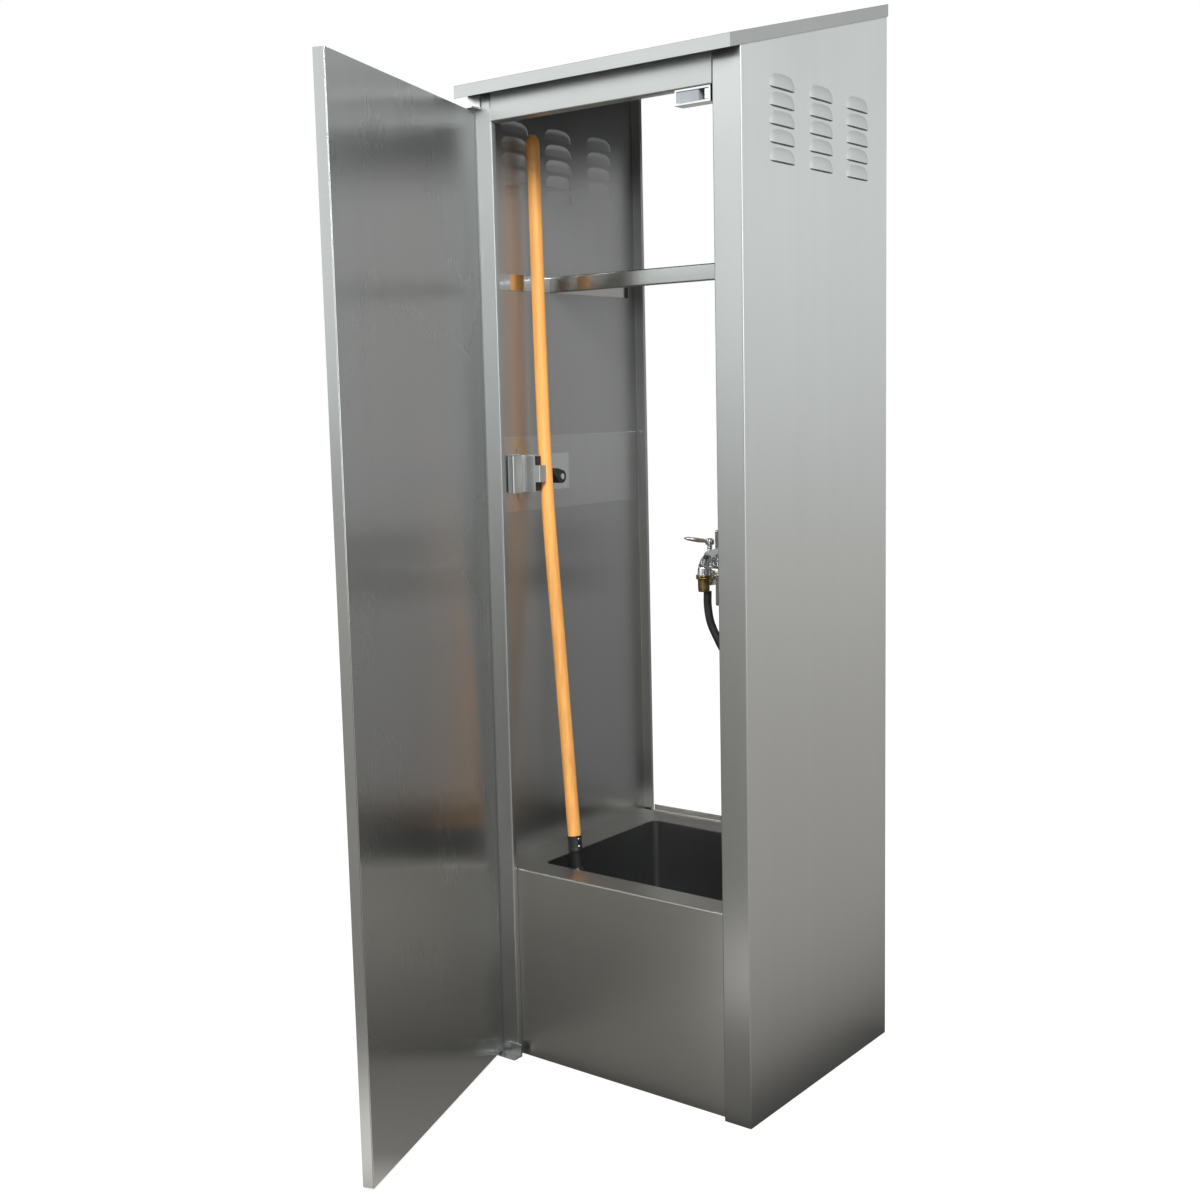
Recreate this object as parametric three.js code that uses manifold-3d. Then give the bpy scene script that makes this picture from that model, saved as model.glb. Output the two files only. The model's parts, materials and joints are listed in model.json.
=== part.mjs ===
// Mop service sink cabinet: a folded sheet-steel cabinet with a floor-level sink bowl, a service
// faucet with its hose, a part-depth shelf, a mop holder with its mop, and one pivot-hung door.
// Millimetres, +Z up, +X to the right of someone who faces the door, +Y to the back.
// The origin is on the floor, at the middle of the rear cross rail's foot flange.
import * as THREE from 'three';
import { mergeVertices } from 'three/addons/utils/BufferGeometryUtils.js';
import Module from 'manifold-3d';

const wasm = await Module();
wasm.setup();

// ---- driving dimensions -------------------------------------------------------------------
const WIDTH = 635; // over the side panels
const DEPTH = 546; // stile face to rear flange
const FRONT_HEIGHT = 1981; // top edge of the cap's front lip
const REAR_HEIGHT = 2134; // top edge of the cap's rear lip
const SHEET = 1.5;
const BEND = 1.5; // inside radius of every fold
const GAP = 0.3; // between touching pieces
const OVERCUT = 2; // how far a cutting solid runs past what it cuts

const STILE_WIDTH = 60;
const REAR_FLANGE = 30;
const FLANGE_LIP = 10; // last fold of an open edge
const CAP_OVERHANG = 36;
const CAP_LIP = 24;

const HEADER_FACE = 71; // from the cap's top edge level down to the header's lower edge
const HEADER_LEG = 26;

const DECK_HEIGHT = 405;
const APRON_SETBACK = 12.5;
const APRON_FOOT = 16;
const DECK_UPSTAND = 13;
const DECK_BRACKET_LEG = 24;
const DECK_BRACKET_SPACE = 40; // clear of the deck's folds at both ends

const BOWL_FLOOR = 100; // above the floor the cabinet stands on
const BOWL_SIDE_LAND = 83.5; // cabinet side to bowl wall
const BOWL_FRONT_LAND = 61; // apron face to bowl wall
const BOWL_REAR_LAND = 77.5; // bowl wall to the cabinet's back
const BOWL_CORNER = 15;
const BOWL_FLOOR_RADIUS = 12;
const BOWL_RIM = 12;

const DRAIN_HOLE = 44; // radius in the bowl's floor
const DRAIN_FLANGE = 56;
const DRAIN_FLANGE_THICKNESS = 2.4;
const DRAIN_WALL = 2.5;
const DRAIN_BODY = 42;
const DRAIN_BODY_DEPTH = 42;
const DRAIN_OUTLET = 21;
const DRAIN_OUTLET_LENGTH = 16;
const DRAIN_NUT = 54;
const DRAIN_NUT_HEIGHT = 9;
const DRAIN_GASKET_THICKNESS = 3;
const TAILPIECE = 19;
const TAILPIECE_WALL = 1.5;
const TAILPIECE_END = 8; // above the floor
const TAIL_NUT = 28;
const TAIL_NUT_HEIGHT = 14;
const BASKET_CUP = 33;
const BASKET_DEPTH = 22;
const BASKET_RIM = 50;
const BASKET_WALL = 1.2;
const BASKET_HOLES = 8;
const BASKET_HOLE = 3;
const BASKET_KNOB = 6;
const BASKET_KNOB_HEIGHT = 26;

const SHELF_DEPTH = 305;
const SHELF_HEIGHT = 1629; // top surface
const SHELF_FRONT_LIP = 33;
const SHELF_REAR_LIP = 14;
const SHELF_HEM = 9;
const RAIL_LEG = 20;

const REAR_RAIL_HEIGHT = 60;
const REAR_RAIL_TOP_DROP = 32; // below the cap's rear top edge

const LOUVRE_LENGTH = 87;
const LOUVRE_PITCH_ACROSS = 141;
const LOUVRE_PITCH_DOWN = 32;
const LOUVRE_COLUMNS = 3;
const LOUVRE_ROWS = 5;
const LOUVRE_RISE = 26;
const LOUVRE_PROUD = 8;
const LOUVRE_SLIT = 0.8; // below the hood's free edge
const LOUVRE_END = 0.5; // 1 gives elliptic ends, smaller values squarer ones
const LOUVRE_TOP = 1913; // opening edge of the top row
const LOUVRE_CENTRE = 6; // behind the middle of the panel

const BAND_TOP = 1296;
const BAND_HEIGHT = 156;
const BAND_SHEET = 1.2;

const DOOR_WIDTH = 607;
const DOOR_THICKNESS = 22;
const DOOR_BOTTOM = 7;
const DOOR_HEIGHT = 1927;
const DOOR_STANDOFF = 4; // closed door to stile face
const DOOR_SIDE_INSET = 3.5; // cabinet side to the door's hinge edge
const DOOR_OPEN_ANGLE = 70.7; // degrees from closed, as it stands
const DOOR_STIFFENER_WIDTH = 90;
const DOOR_STIFFENER_FLANGE = 18;
const DOOR_STIFFENER_END = 60;

const HINGE_IN = 9; // hinge edge to pin
const HINGE_BACK = 11; // door's inner face to pin
const HINGE_PIN = 4;
const HINGE_PIN_REACH = 14; // into the door
const HINGE_RUNNING = 0.2; // pin to bush, on the radius
const HINGE_PLATE = 3;
const HINGE_PLATE_WIDTH = 34;
const HINGE_PLATE_RISE = 26;
const HINGE_PLATE_SHIFT = 34; // lower plate, moved clear of the door's turning corner
const HINGE_EDGE_CLEARANCE = 2; // plate to door edge
const BUSH_WALL = 2;
const BUSH_FLANGE = 8;
const BUSH_FLANGE_THICKNESS = 1.4;

const CATCH_WIDTH = 76;
const CATCH_HEIGHT = 28;
const CATCH_DEPTH = 26;
const CATCH_BORDER = 4;
const CATCH_SIDE_GAP = 3; // to the right stile
const CATCH_MAGNET_SHARE = 46; // width of the magnet block
const CATCH_RECESS = 1.5;
const CATCH_BUMPER = 10;

const HOLDER_HEIGHT = 1219; // middle of the mop holder
const HOLDER_BACK_FRONT = 115; // base plate's front edge, behind the stile face
const HOLDER_BACK_LENGTH = 168;
const HOLDER_BACK_RISE = 110;
const HOLDER_BACK_SHEET = 1.2;
const HOLDER_RISE = 77; // bracket's height
const HOLDER_SHEET = 2;
const HOLDER_BOX_FRONT = 81; // bracket's box end, behind the stile face
const HOLDER_BOX_LENGTH = 31;
const HOLDER_BOX_DEPTH = 17;
const RETAINER_FRONT = 128; // behind the stile face
const RETAINER_FLANGE = 33; // holder face to the flange's edge
const RETAINER_RISE = 35; // of the tongue
const RETAINER_FACE = 46; // holder face to the tongue's outer face
const RETAINER_SHORT = 2; // of the handle
const GRIP_BLOCK_REACH = 18; // front to back
const GRIP_BLOCK_RISE = 72;
const GRIP_NOSE_RISE = 26;
const CAM_PIVOT = 14;
const CAM_NOSE = 9;
const CAM_REACH = 18.5; // pivot to nose centre
const CAM_NOSE_ANGLE = 150;
const CAM_WIDTH = 22;
const CAM_PIN = 4;
const CAM_PIN_HEAD = 6.5;
const CAM_PIN_HEAD_HEIGHT = 2.5;
const CAM_RUNNING = 0.2;

const MOP_RADIUS = 14;
const MOP_CLEARANCE = 0.4; // to the jaw pad and the cam
const MOP_TOP = [28.5, 163, 1908]; // from the left wall's outside and the stile face
const MOP_GRIP = [39.5, 165, 1216];
const MOP_MIDDLE = [68, 159, 860];
const MOP_FOOT = [112.5, 140, 447];
const CLAMP_RADIUS = 15.6;
const CLAMP_LENGTH = 112;
const CLAMP_SOCKET = 26; // handle inside the clamp
const CLAMP_JAW_WIDTH = 64;
const CLAMP_JAW_THICKNESS = 12;

const FAUCET_X = 30;
const FAUCET_HEIGHT = 990;
const FAUCET_CENTRES = 203; // between the two valves
const FAUCET_STANDOFF = 61; // bracket face to valve axis
const FAUCET_BRACKET_HEIGHT = 170;
const FAUCET_BRACKET_LEFT = -98; // left end, seen past the stile's edge
const FAUCET_BRACKET_DEPTH = 12;
const VALVE_RADIUS = 19;
const VALVE_LOW = 30; // below the body's axis
const VALVE_HIGH = 24; // above it
const BODY_BAR = 15;
const INLET_SHANK = 14;
const INLET_FLANGE = 29;
const INLET_FLANGE_THICKNESS = 9;
const BONNET_RADIUS = 16;
const BONNET_HEIGHT = 20;
const STEM_RADIUS = 6;
const STEM_HEIGHT = 14;
const LEVER_LENGTH = 68;
const LEVER_HUB = 10;
const LEVER_HUB_HEIGHT = 15;
const LEVER_BLADE_WIDTH = 15;
const LEVER_BLADE_THICKNESS = 8;
const SPOUT_REACH = 238; // bracket face to outlet
const SPOUT_RADIUS = 12;
const SPOUT_RISE = 56; // above the body's axis
const SPOUT_END_RADIUS = 14;
const SPOUT_COLLAR = 16;
const SPOUT_COLLAR_HEIGHT = 9;
const SPOUT_END_LEVEL = 7; // outlet face above the body's axis
const BREAKER_RADIUS = 19;
const BREAKER_HEIGHT = 34;
const BRACE_RADIUS = 5;
const BRACE_RISE = 66; // wall end above the body's axis
const BRACE_FLANGE = 18;
const BRACE_FLANGE_THICKNESS = 5;
const COUPLING_RADIUS = 12.5;
const COUPLING_LENGTH = 26;
const HOSE_RADIUS = 8.5;

// The hose hangs free, so its route is a list of chosen points.
const HOSE_ROUTE = [
  [30, -223, 970.4],
  [30, -223, 940],
  [36, -222, 905],
  [54, -219, 866],
  [80, -214, 818],
  [101, -210, 756],
  [112, -207, 686],
  [115, -206, 600],
  [113, -207, 510],
  [109, -209, 420],
  [107, -210, 330],
  [107, -210, 234],
];

const ROUND = 20; // sides of a turned piece
const SMALL_ROUND = 16;
const FOLD_STEPS = 2;

// ---- places that follow from them ----------------------------------------------------------
const SIDE = WIDTH / 2;
const BACK = REAR_FLANGE / 2;
const FRONT = BACK - DEPTH;
const CAP_FRONT = FRONT - CAP_OVERHANG;
const CAP_REAR = BACK;
const CAP_SIDE = SIDE + GAP + SHEET;
const SLOPE = (REAR_HEIGHT - FRONT_HEIGHT) / (CAP_REAR - CAP_FRONT);
const SLOPED_SHEET = SHEET * Math.hypot(1, SLOPE); // the cap's sheet, measured straight down
const APRON = FRONT + APRON_SETBACK;
const INNER_SIDE = SIDE - SHEET - GAP;
const HEADER_LOW = FRONT_HEIGHT - HEADER_FACE;
const BOWL_HALF = SIDE - BOWL_SIDE_LAND;
const BOWL_FRONT = APRON + BOWL_FRONT_LAND;
const BOWL_BACK = BACK - BOWL_REAR_LAND;
const BOWL_MIDDLE = (BOWL_FRONT + BOWL_BACK) / 2;
const RIM_TOP = DECK_HEIGHT - SHEET - GAP;
const SHELF_REAR = BACK - SHEET - GAP;
const SHELF_FRONT = SHELF_REAR - SHELF_DEPTH;
const BAND_FACE = -SIDE + SHEET + GAP + BAND_SHEET;
const HOLDER_BACK_FACE = BAND_FACE + GAP + HOLDER_BACK_SHEET;
const HOLDER_FACE = HOLDER_BACK_FACE + GAP + HOLDER_SHEET;
const HINGE_X = -SIDE + DOOR_SIDE_INSET + HINGE_IN;
const HINGE_Y = FRONT - DOOR_STANDOFF - HINGE_BACK;
const DOOR_TOP = DOOR_BOTTOM + DOOR_HEIGHT;
const FAUCET_PLATE_FACE = BACK - SHEET - GAP - FAUCET_BRACKET_DEPTH;
const FAUCET_Y = FAUCET_PLATE_FACE - FAUCET_STANDOFF;
const SPOUT_END_Y = FAUCET_PLATE_FACE - SPOUT_REACH;

const undersideOfCap = (y) => FRONT_HEIGHT + SLOPE * (y - CAP_FRONT) - SLOPED_SHEET;

// ---- materials ------------------------------------------------------------------------------
const finish = (color, roughness, metalness) =>
  new THREE.MeshStandardMaterial({ color, roughness, metalness });
const brushedSteel = () => finish(0xa8a8a4, 0.38, 1);
const polishedSteel = () => finish(0xbcbcb8, 0.16, 1);
const chrome = () => finish(0xd4d6d8, 0.08, 1);
const brass = () => finish(0x8f7a45, 0.32, 1);
const blackRubber = () => finish(0x17181a, 0.75, 0);
const darkPlastic = () => finish(0x1c1d1f, 0.5, 0);
const greyPlastic = () => finish(0x8f949c, 0.45, 0);
const palePlastic = () => finish(0xe4e8ea, 0.4, 0);
const varnishedWood = () => finish(0xd09a55, 0.42, 0);

// ---- solid helpers --------------------------------------------------------------------------
function toSolid(geometry) {
  const bare = geometry.index ? geometry.toNonIndexed() : geometry.clone();
  bare.deleteAttribute('normal');
  bare.deleteAttribute('uv');
  const merged = mergeVertices(bare, 1e-4);
  return new wasm.Manifold(new wasm.Mesh({
    numProp: 3,
    vertProperties: new Float32Array(merged.attributes.position.array),
    triVerts: new Uint32Array(merged.index.array),
  }));
}

function toGeometry(solid) {
  const mesh = solid.getMesh();
  const geometry = new THREE.BufferGeometry();
  geometry.setAttribute('position', new THREE.BufferAttribute(new Float32Array(mesh.vertProperties), 3));
  geometry.setIndex(new THREE.BufferAttribute(new Uint32Array(mesh.triVerts), 1));
  geometry.computeVertexNormals();
  return geometry;
}

const join = (...solids) => solids.reduce((whole, next) => whole.add(next));
const cut = (solid, ...tools) => tools.reduce((rest, tool) => rest.subtract(tool), solid);

function block(x0, x1, y0, y1, z0, z1) {
  const geometry = new THREE.BoxGeometry(x1 - x0, y1 - y0, z1 - z0);
  geometry.translate((x0 + x1) / 2, (y0 + y1) / 2, (z0 + z1) / 2);
  return toSolid(geometry);
}

const shapeOf = (points) => new THREE.Shape(points.map(([a, b]) => new THREE.Vector2(a, b)));

function extrude(shape, length, options = {}) {
  return new THREE.ExtrudeGeometry(shape, {
    depth: length, bevelEnabled: false, curveSegments: FOLD_STEPS * 3, ...options,
  });
}

// A plan outline raised from z0 to z1.
function upright(shape, z0, z1) {
  return toSolid(extrude(shape, z1 - z0).translate(0, 0, z0));
}

// A side outline in (Y, Z) run along X from x0 to x1.
function along(shape, x0, x1) {
  const turn = new THREE.Matrix4().makeBasis(
    new THREE.Vector3(0, 1, 0), new THREE.Vector3(0, 0, 1), new THREE.Vector3(1, 0, 0));
  return toSolid(extrude(shape, x1 - x0).applyMatrix4(turn).translate(x0, 0, 0));
}

// Replaces each inner corner of an open line by an arc.
function roundCorners(points, radii) {
  const line = [points[0]];
  for (let i = 1; i < points.length - 1; i += 1) {
    const before = new THREE.Vector2(...points[i - 1]);
    const corner = new THREE.Vector2(...points[i]);
    const after = new THREE.Vector2(...points[i + 1]);
    const inward = before.sub(corner).normalize();
    const outward = after.sub(corner).normalize();
    const half = Math.acos(THREE.MathUtils.clamp(inward.dot(outward), -1, 1)) / 2;
    const reach = radii[i] / Math.tan(half);
    const centre = inward.clone().add(outward).normalize().multiplyScalar(radii[i] / Math.sin(half)).add(corner);
    const from = inward.multiplyScalar(reach).add(corner).sub(centre);
    const to = outward.multiplyScalar(reach).add(corner).sub(centre);
    const turn = Math.atan2(from.cross(to), from.dot(to));
    for (let step = 0; step <= FOLD_STEPS; step += 1) {
      const arm = from.clone().rotateAround(new THREE.Vector2(), turn * step / FOLD_STEPS).add(centre);
      line.push([arm.x, arm.y]);
    }
  }
  line.push(points[points.length - 1]);
  return line;
}

// The cross-section of a folded sheet: `points` is its outer line and the sheet lies on the
// line's left (side = 1) or right (side = -1).
function foldedSheet(points, side, sheet = SHEET) {
  const normals = points.slice(1).map(([x, y], i) => {
    const run = new THREE.Vector2(x - points[i][0], y - points[i][1]).normalize();
    return new THREE.Vector2(-run.y * side, run.x * side);
  });
  const inner = points.map(([x, y], i) => {
    const a = normals[Math.max(i - 1, 0)];
    const b = normals[Math.min(i, normals.length - 1)];
    const mitre = a.clone().add(b);
    mitre.multiplyScalar(sheet / (1 + a.dot(b)));
    return [x + mitre.x, y + mitre.y];
  });
  const turns = points.map((point, i) => {
    if (i === 0 || i === points.length - 1) return 0;
    return Math.sign(normals[i - 1].cross(normals[i])) * side;
  });
  const outerRadii = turns.map((turn) => (turn > 0 ? BEND + sheet : BEND));
  const innerRadii = turns.map((turn) => (turn > 0 ? BEND : BEND + sheet));
  return shapeOf([...roundCorners(points, outerRadii), ...roundCorners(inner, innerRadii).reverse()]);
}

function roundedRectangle(x0, x1, y0, y1, radius) {
  const shape = new THREE.Shape();
  shape.moveTo(x0 + radius, y0);
  shape.lineTo(x1 - radius, y0);
  shape.absarc(x1 - radius, y0 + radius, radius, -Math.PI / 2, 0);
  shape.lineTo(x1, y1 - radius);
  shape.absarc(x1 - radius, y1 - radius, radius, 0, Math.PI / 2);
  shape.lineTo(x0 + radius, y1);
  shape.absarc(x0 + radius, y1 - radius, radius, Math.PI / 2, Math.PI);
  shape.lineTo(x0, y0 + radius);
  shape.absarc(x0 + radius, y0 + radius, radius, Math.PI, Math.PI * 1.5);
  return shape;
}

// A turned piece about Z from (radius, height) points.
function turned(points, sides = ROUND) {
  const profile = points.map(([radius, height]) => new THREE.Vector2(radius, height));
  const geometry = new THREE.LatheGeometry(profile, sides);
  return geometry.rotateX(Math.PI / 2);
}

// A ring or sleeve about Z.
const sleeve = (inner, outer, z0, z1, sides = ROUND) =>
  turned([[inner, z0], [outer, z0], [outer, z1], [inner, z1], [inner, z0]], sides);

const rod = (radius, z0, z1, sides = ROUND) =>
  turned([[0, z0], [radius, z0], [radius, z1], [0, z1]], sides);

const alongY = (geometry) => geometry.rotateX(Math.PI / 2); // +Z turns to -Y
const alongX = (geometry) => geometry.rotateY(Math.PI / 2); // +Z turns to +X

function circleShape(radius, sides) {
  return shapeOf(Array.from({ length: sides }, (_, i) => {
    const angle = (2 * Math.PI * i) / sides;
    return [radius * Math.cos(angle), radius * Math.sin(angle)];
  }));
}

function tubeAlong(points, radius, sides, steps) {
  const curve = new THREE.CatmullRomCurve3(points.map((point) => new THREE.Vector3(...point)));
  return new THREE.ExtrudeGeometry(circleShape(radius, sides), { steps, extrudePath: curve, bevelEnabled: false });
}

function piece(name, shape, material, parent) {
  const geometry = shape.isBufferGeometry ? shape : toGeometry(shape);
  const mesh = new THREE.Mesh(geometry, material);
  mesh.name = name;
  parent.add(mesh);
  return mesh;
}

// ---- cabinet shell --------------------------------------------------------------------------
// One louvre of the left panel: a hood pressed outwards, open along its lower edge.
function louvre(y, z) {
  const dome = (grow, low) => {
    const ball = new THREE.SphereGeometry(1, 12, 8);
    const place = ball.attributes.position;
    for (let i = 0; i < place.count; i += 1) {
      const across = place.getY(i);
      place.setY(i, Math.sign(across) * Math.abs(across) ** LOUVRE_END);
    }
    ball.scale(LOUVRE_PROUD + grow, LOUVRE_LENGTH / 2 + grow, LOUVRE_RISE + grow);
    ball.translate(-SIDE + SHEET, y, z);
    const reach = LOUVRE_LENGTH;
    return toSolid(ball).intersect(block(-SIDE - reach, -SIDE + SHEET + grow, y - reach, y + reach, low, z + reach));
  };
  return { hood: dome(SHEET, z).intersect(block(-WIDTH, -SIDE + SHEET, -DEPTH * 2, DEPTH, 0, REAR_HEIGHT)),
    hollow: dome(0, z - LOUVRE_SLIT) };
}

function sidePanel(hand) {
  const outline = foldedSheet([
    [-SIDE + STILE_WIDTH, FRONT + APRON_SETBACK - GAP],
    [-SIDE + STILE_WIDTH, FRONT],
    [-SIDE, FRONT],
    [-SIDE, BACK],
    [-SIDE + REAR_FLANGE, BACK],
    [-SIDE + REAR_FLANGE, BACK - FLANGE_LIP],
  ], -1);
  const behindLip = BACK - SHEET - GAP;
  const underLip = REAR_HEIGHT - CAP_LIP - SLOPE * (SHEET + GAP) - GAP;
  const above = along(shapeOf([
    [CAP_FRONT, undersideOfCap(CAP_FRONT) - GAP],
    [behindLip, undersideOfCap(behindLip) - GAP],
    [behindLip, underLip],
    [BACK + OVERCUT, underLip],
    [BACK + OVERCUT, REAR_HEIGHT * 2],
    [CAP_FRONT, REAR_HEIGHT * 2],
  ]), -WIDTH, WIDTH);
  let panel = cut(upright(outline, 0, REAR_HEIGHT), above);
  const middle = (FRONT + BACK) / 2 + LOUVRE_CENTRE;
  for (let column = 0; column < LOUVRE_COLUMNS; column += 1) {
    for (let row = 0; row < LOUVRE_ROWS; row += 1) {
      const y = middle + (column - (LOUVRE_COLUMNS - 1) / 2) * LOUVRE_PITCH_ACROSS;
      const { hood, hollow } = louvre(y, LOUVRE_TOP - row * LOUVRE_PITCH_DOWN);
      panel = cut(join(panel, hood), hollow);
    }
  }
  return hand < 0 ? panel : panel.mirror([1, 0, 0]);
}

function topCap() {
  const rise = SLOPE * (CAP_REAR - CAP_FRONT);
  const outer = along(shapeOf([
    [CAP_FRONT, FRONT_HEIGHT - CAP_LIP],
    [CAP_REAR, FRONT_HEIGHT + rise - CAP_LIP],
    [CAP_REAR, FRONT_HEIGHT + rise],
    [CAP_FRONT, FRONT_HEIGHT],
  ]), -CAP_SIDE, CAP_SIDE);
  const low = CAP_LIP + OVERCUT;
  const inner = along(shapeOf([
    [CAP_FRONT + SHEET, undersideOfCap(CAP_FRONT + SHEET) - low],
    [CAP_REAR - SHEET, undersideOfCap(CAP_REAR - SHEET) - low],
    [CAP_REAR - SHEET, undersideOfCap(CAP_REAR - SHEET)],
    [CAP_FRONT + SHEET, undersideOfCap(CAP_FRONT + SHEET)],
  ]), -CAP_SIDE + SHEET, CAP_SIDE - SHEET);
  return cut(outer, inner);
}

function headerRail() {
  const high = Math.min(undersideOfCap(FRONT), undersideOfCap(FRONT + HEADER_LEG)) - GAP;
  const outline = foldedSheet([
    [FRONT + HEADER_LEG, HEADER_LOW + FLANGE_LIP],
    [FRONT + HEADER_LEG, HEADER_LOW],
    [FRONT, HEADER_LOW],
    [FRONT, high],
    [FRONT + HEADER_LEG, high],
  ], -1);
  const half = SIDE - STILE_WIDTH - GAP;
  return along(outline, -half, half);
}

// A channel across the back, its flat towards the wall.
function rearRail(z0, z1) {
  const rear = BACK - SHEET - GAP;
  const outline = foldedSheet([
    [rear - REAR_FLANGE + SHEET, z0],
    [rear, z0],
    [rear, z1],
    [rear - REAR_FLANGE + SHEET, z1],
  ], 1);
  const half = SIDE - SHEET - GAP;
  const lipCut = block(half - REAR_FLANGE - SHEET, WIDTH, BACK - FLANGE_LIP - GAP, BACK, z0 - OVERCUT, z1 + OVERCUT);
  const body = along(outline, -half, half);
  return cut(body, lipCut, lipCut.mirror([1, 0, 0]));
}

// ---- sink -----------------------------------------------------------------------------------
const bowlOutline = (grow) => roundedRectangle(
  -BOWL_HALF - grow, BOWL_HALF + grow, BOWL_FRONT - grow, BOWL_BACK + grow, BOWL_CORNER + grow);

function sinkDeck() {
  const rear = BACK - SHEET - GAP;
  const outline = foldedSheet([
    [APRON + APRON_FOOT, 0],
    [APRON, 0],
    [APRON, DECK_HEIGHT],
    [rear, DECK_HEIGHT],
    [rear, DECK_HEIGHT + DECK_UPSTAND],
  ], -1);
  const deck = along(outline, -INNER_SIDE, INNER_SIDE);
  const opening = upright(bowlOutline(0), DECK_HEIGHT - SHEET * OVERCUT, DECK_HEIGHT + OVERCUT);
  const lip = SIDE - REAR_FLANGE - SHEET - GAP;
  const corner = block(lip, WIDTH, BACK - FLANGE_LIP - GAP, BACK, -OVERCUT, DECK_HEIGHT * 2);
  return cut(deck, opening, corner, corner.mirror([1, 0, 0]));
}

// The bowl's block grown by `grow`, with its floor edge rounded.
function bowlBlock(grow) {
  const radius = BOWL_FLOOR_RADIUS + grow;
  const shape = bowlOutline(grow - radius);
  const low = BOWL_FLOOR - grow;
  return toSolid(extrude(shape, DECK_HEIGHT - BOWL_FLOOR, {
    bevelEnabled: true, bevelThickness: radius, bevelSize: radius, bevelSegments: 2, curveSegments: 3,
  }).translate(0, 0, low + radius));
}

function sinkBowl() {
  const below = block(-WIDTH, WIDTH, -DEPTH, DEPTH, 0, RIM_TOP);
  const rim = upright(bowlOutline(BOWL_RIM), RIM_TOP - SHEET, RIM_TOP);
  const hole = toSolid(rod(DRAIN_HOLE, BOWL_FLOOR - SHEET - OVERCUT, BOWL_FLOOR + OVERCUT).translate(0, BOWL_MIDDLE, 0));
  return cut(join(bowlBlock(SHEET).intersect(below), rim), bowlBlock(0), hole);
}

function deckBracket(hand) {
  const top = RIM_TOP;
  const outline = foldedSheet([
    [-INNER_SIDE, top - DECK_BRACKET_LEG],
    [-INNER_SIDE, top],
    [-INNER_SIDE + DECK_BRACKET_LEG, top],
  ], -1);
  const turn = new THREE.Matrix4().makeBasis(
    new THREE.Vector3(1, 0, 0), new THREE.Vector3(0, 0, 1), new THREE.Vector3(0, -1, 0));
  const length = DEPTH - APRON_SETBACK - 2 * DECK_BRACKET_SPACE;
  const bracket = toSolid(extrude(outline, length).applyMatrix4(turn).translate(0, BACK - DECK_BRACKET_SPACE, 0));
  return hand < 0 ? bracket : bracket.mirror([1, 0, 0]);
}

const DRAIN_SEAT = BOWL_FLOOR + GAP;
const DRAIN_LOW = DRAIN_SEAT - DRAIN_BODY_DEPTH;

function drainBody() {
  const throat = DRAIN_SEAT + DRAIN_FLANGE_THICKNESS - DRAIN_WALL;
  return turned([
    [DRAIN_BODY - DRAIN_WALL, throat],
    [DRAIN_BODY - DRAIN_WALL, DRAIN_LOW + DRAIN_WALL * 3],
    [DRAIN_OUTLET, DRAIN_LOW + DRAIN_WALL],
    [DRAIN_OUTLET - DRAIN_WALL + GAP, DRAIN_LOW - DRAIN_OUTLET_LENGTH + TAIL_NUT_HEIGHT / 2],
    [DRAIN_OUTLET - DRAIN_WALL + GAP, DRAIN_LOW - DRAIN_OUTLET_LENGTH],
    [DRAIN_OUTLET + DRAIN_WALL, DRAIN_LOW - DRAIN_OUTLET_LENGTH],
    [DRAIN_OUTLET + DRAIN_WALL, DRAIN_LOW],
    [DRAIN_BODY, DRAIN_LOW + DRAIN_WALL * 2],
    [DRAIN_BODY, DRAIN_SEAT],
    [DRAIN_FLANGE, DRAIN_SEAT],
    [DRAIN_FLANGE, DRAIN_SEAT + DRAIN_FLANGE_THICKNESS / 2],
    [DRAIN_FLANGE - DRAIN_FLANGE_THICKNESS, DRAIN_SEAT + DRAIN_FLANGE_THICKNESS],
    [DRAIN_BODY, DRAIN_SEAT + DRAIN_FLANGE_THICKNESS],
    [DRAIN_BODY - DRAIN_WALL, throat],
  ]).translate(0, BOWL_MIDDLE, 0);
}

function buildDrain(parent) {
  const under = BOWL_FLOOR - SHEET - GAP;
  const bore = DRAIN_BODY + GAP;
  piece('drain_body', drainBody(), chrome(), parent);
  piece('drain_gasket', sleeve(bore, DRAIN_NUT, under - DRAIN_GASKET_THICKNESS, under).translate(0, BOWL_MIDDLE, 0),
    blackRubber(), parent);
  const nutTop = under - DRAIN_GASKET_THICKNESS - GAP;
  const nutBlank = toSolid(rod(DRAIN_NUT, nutTop - DRAIN_NUT_HEIGHT, nutTop, 8));
  const nutBore = toSolid(rod(bore, nutTop - DRAIN_NUT_HEIGHT - OVERCUT, nutTop + OVERCUT));
  piece('drain_nut', toGeometry(cut(nutBlank, nutBore)).translate(0, BOWL_MIDDLE, 0), brass(), parent);
  const outletEnd = DRAIN_LOW - DRAIN_OUTLET_LENGTH;
  const pipeTop = outletEnd - GAP;
  const pipe = sleeve(TAILPIECE - TAILPIECE_WALL, TAILPIECE, TAILPIECE_END, pipeTop);
  piece('tailpiece', pipe.translate(0, BOWL_MIDDLE, 0), chrome(), parent);
  const grip = DRAIN_OUTLET + DRAIN_WALL + GAP;
  const nut = turned([
    [TAILPIECE + GAP, pipeTop - TAIL_NUT_HEIGHT / 2],
    [TAIL_NUT, pipeTop - TAIL_NUT_HEIGHT / 2],
    [TAIL_NUT, pipeTop + TAIL_NUT_HEIGHT / 2],
    [grip, pipeTop + TAIL_NUT_HEIGHT / 2],
    [grip, pipeTop],
    [TAILPIECE + GAP, pipeTop],
    [TAILPIECE + GAP, pipeTop - TAIL_NUT_HEIGHT / 2],
  ]);
  piece('tailpiece_nut', nut.translate(0, BOWL_MIDDLE, 0), brass(), parent);
}

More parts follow.
